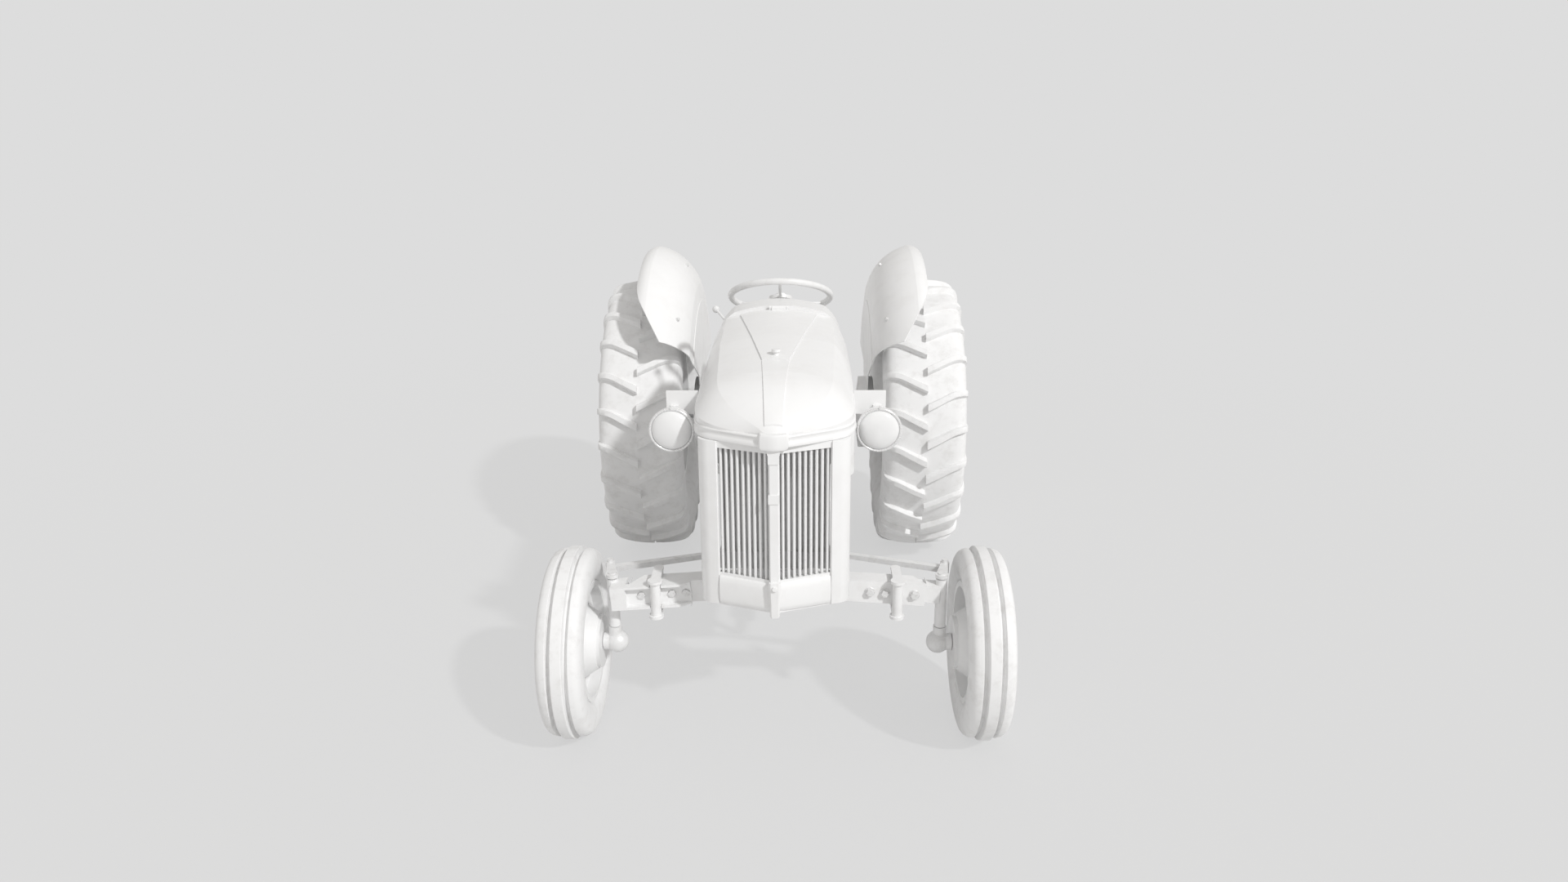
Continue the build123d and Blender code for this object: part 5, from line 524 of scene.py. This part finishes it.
# Wheel nuts: a circle of them holds each front disc to its hub and each rear disc to its axle shaft.
# columns: end of the tractor, wheel, how far their seat lies out from the wheel's middle, radius of their
# circle, their number, width across the flats
WHEEL_NUTS = (("front", FRONT_WHEEL, -0.0770, 0.078, 6, 0.021),
              ("rear", REAR_WHEEL, -0.1080, 0.130, 8, 0.027))
for side, sign in (("left", 1), ("right", -1)):
    facing = np.array((sign, 0.0, 0.0))
    for end, wheel, out, radius, count, across in WHEEL_NUTS:
        centre = np.array((sign * (wheel[0] + out), wheel[1], wheel[2]))
        heads = []
        for number in range(count):
            turn_by = number * 2 * math.pi / count
            place = centre + (0, radius * math.cos(turn_by), radius * math.sin(turn_by))
            heads += bolt(place, facing, across, across * 0.62)
        piece(f"{end}_wheel_nuts_{side}", heads, zinc, f"{end}_wheel_{side}", 25)

# Grille: upright half-round bars stand behind the windows. Rounded pillars flank them, a bulged apron
# closes the shell below, and the middle post ends in a forged bracket with one bolt.
SHELL_TIP = FRONT_AXLE_Y - 0.250
SHELL_SLOPE = 0.3814
SHELL_HALF = 0.236
CORNER_R = 0.044
WINDOW_SIDES = (0.018, 0.180)
BAR_COUNT = 9
BAR_HALF, BAR_ROUND, BAR_BACK = 0.0052, 0.009, 0.004
BAR_PITCH = (WINDOW_SIDES[1] - WINDOW_SIDES[0]) / BAR_COUNT
BAR_FOOT, BAR_HEIGHT, BAR_BEHIND = 0.678, 0.462, 0.0155
RAIL_FEET = (0.6785, 1.1205)
RAIL_HEIGHT, RAIL_DEPTH, RAIL_BEHIND = 0.009, 0.010, 0.0165
half_turn = np.linspace(math.pi, 2 * math.pi, 9)
bar_plan = np.concatenate((np.column_stack((BAR_HALF * np.cos(half_turn), BAR_ROUND * np.sin(half_turn))),
                           [(BAR_HALF, BAR_BACK), (-BAR_HALF, BAR_BACK)]))
bars = []
for sign in (1, -1):
    for number in range(BAR_COUNT):
        offset = WINDOW_SIDES[0] + (number + 0.5) * BAR_PITCH
        place = np.array((sign * offset, SHELL_TIP + SHELL_SLOPE * offset + BAR_BEHIND, BAR_FOOT))
        bars.append(stack(bar_plan, ((1, 0), (1, BAR_HEIGHT)), place, (1, 0, 0), (0, 1, 0)))
side_back = SHELL_SLOPE * WINDOW_SIDES[1]
rail_plan = np.array(((0.0, 0.0), (WINDOW_SIDES[1], side_back), (WINDOW_SIDES[1], side_back + RAIL_DEPTH),
                      (0.0, RAIL_DEPTH)))
for low in RAIL_FEET:
    for sign in (1, -1):
        bars.append(stack((rail_plan * (sign, 1))[::sign], ((1, 0), (1, RAIL_HEIGHT)),
                          np.array((0, SHELL_TIP + RAIL_BEHIND, low)), (1, 0, 0), (0, 1, 0)))
bar_coat = Finish("bar_enamel", Coat_Weight=0.2, Coat_Roughness=0.15)
chips = bar_coat.noise(120, 3, 0.6).step(0.55, 0.75)
bar_coat.set("Base Color", bar_coat.tint(chips, grey(0.88), grey(0.76, 0.006)))
bar_coat.set("Roughness", chips * 0.25 + 0.38)
grille = piece("half_round_bars", bars, bar_coat, "chassis", 40)
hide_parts("grille_bars")

# Pillars: each follows the shell's face from the window's side, round the corner and back along its wall.
WALL_TURN = math.atan2(1.0, SHELL_SLOPE)
PILLAR_START, PILLAR_END = 0.1825, FRONT_AXLE_Y - 0.100
# how far it stands out at each place of its path, and how far it is sunk in
PILLAR_PROUD, PILLAR_SUNK = (0.0075, *[0.0100] * 11, 0.0060, 0.0015), 0.003
PILLAR_FOOT, PILLAR_RINGS = 0.5785, ((0.97, 0.0), (1, 0.003), (1, 0.563), (0.97, 0.566))
corner_turn = np.linspace(-WALL_TURN, 0, 12)
corner_middle = np.array((SHELL_HALF - CORNER_R, SHELL_TIP + SHELL_SLOPE * SHELL_HALF
                          + CORNER_R * math.tan(WALL_TURN / 2)))
corner_out = np.column_stack((np.cos(corner_turn), np.sin(corner_turn)))
pillar_path = np.concatenate(([(PILLAR_START, SHELL_TIP + SHELL_SLOPE * PILLAR_START)],
                              corner_middle + CORNER_R * corner_out, [(SHELL_HALF, PILLAR_END)]))
pillar_out = np.concatenate((corner_out[:1], corner_out, corner_out[-1:]))
pillar_plan = np.concatenate((pillar_path + pillar_out * np.array(PILLAR_PROUD)[:, None],
                              (pillar_path - pillar_out * PILLAR_SUNK)[::-1]))
pillars = []
for sign in (1, -1):
    plan = (pillar_plan * (sign, 1))[::sign]
    pillars.append(stack(plan, PILLAR_RINGS, np.array((0, 0, PILLAR_FOOT)), (1, 0, 0), (0, 1, 0)))

# Apron and bracket: the apron runs from pillar to pillar, rounded at the nose, and bulges by its section.
APRON_HALF, APRON_NOSE, APRON_FOOT, APRON_STEPS = 0.179, 0.026, 0.5805, 60
apron_across = np.linspace(-APRON_HALF, APRON_HALF, APRON_STEPS)
apron_back = SHELL_TIP + SHELL_SLOPE * np.sqrt(apron_across ** 2 + APRON_NOSE ** 2)
apron_path = np.column_stack((apron_across, apron_back, np.full(APRON_STEPS, APRON_FOOT)))
APRON_SECTION = ((-0.003, 0.0), (0.005, 0.0005), (0.0095, 0.005), (0.0120, 0.020), (0.0130, 0.048),
                 (0.0122, 0.078), (0.0098, 0.094), (0.0050, 0.0995), (-0.003, 0.100))
apron = swept(APRON_SECTION[::-1], apron_path, -beside(apron_path))
BRACKET = ((-0.019, 0.006), (-0.019, -0.0145), (-0.013, -0.0205), (0.013, -0.0205), (0.019, -0.0145),
           (0.019, 0.006))
BRACKET_RINGS = ((0.70, 0.0), (0.82, 0.006), (0.84, 0.050), (0.97, 0.085), (1.0, 0.118), (0.95, 0.124))
BRACKET_FOOT = np.array((0, SHELL_TIP, 0.566))
bracket = stack(BRACKET, BRACKET_RINGS, BRACKET_FOOT, (1, 0, 0), (0, 1, 0))
bracket_bolt = bolt((0, SHELL_TIP - 0.0195, 0.672), (0, -1, 0.1), 0.015, 0.008)
piece("grille_trim", pillars + [apron, bracket] + bracket_bolt, enamel, "chassis", 38)

# Axle bolts: they pin the telescoping arms to the centre beam, three on a side. The beam falls away to
# both sides of its middle.
BEAM_MIDDLE = 0.571
BEAM_FALL = math.tan(math.radians(4.1))
AXLE_HALF_DEPTH = 0.035
AXLE_BOLTS_ACROSS = (0.322, 0.374, 0.476, -0.312, -0.361, -0.468)
axle_heads = []
for across in AXLE_BOLTS_ACROSS:
    place = (across, FRONT_AXLE_Y - AXLE_HALF_DEPTH - 0.0005, BEAM_MIDDLE - abs(across) * BEAM_FALL)
    axle_heads += bolt(place, (0, -1, 0), 0.025, 0.014)
piece("axle_bolts", axle_heads, zinc, "chassis", 25)
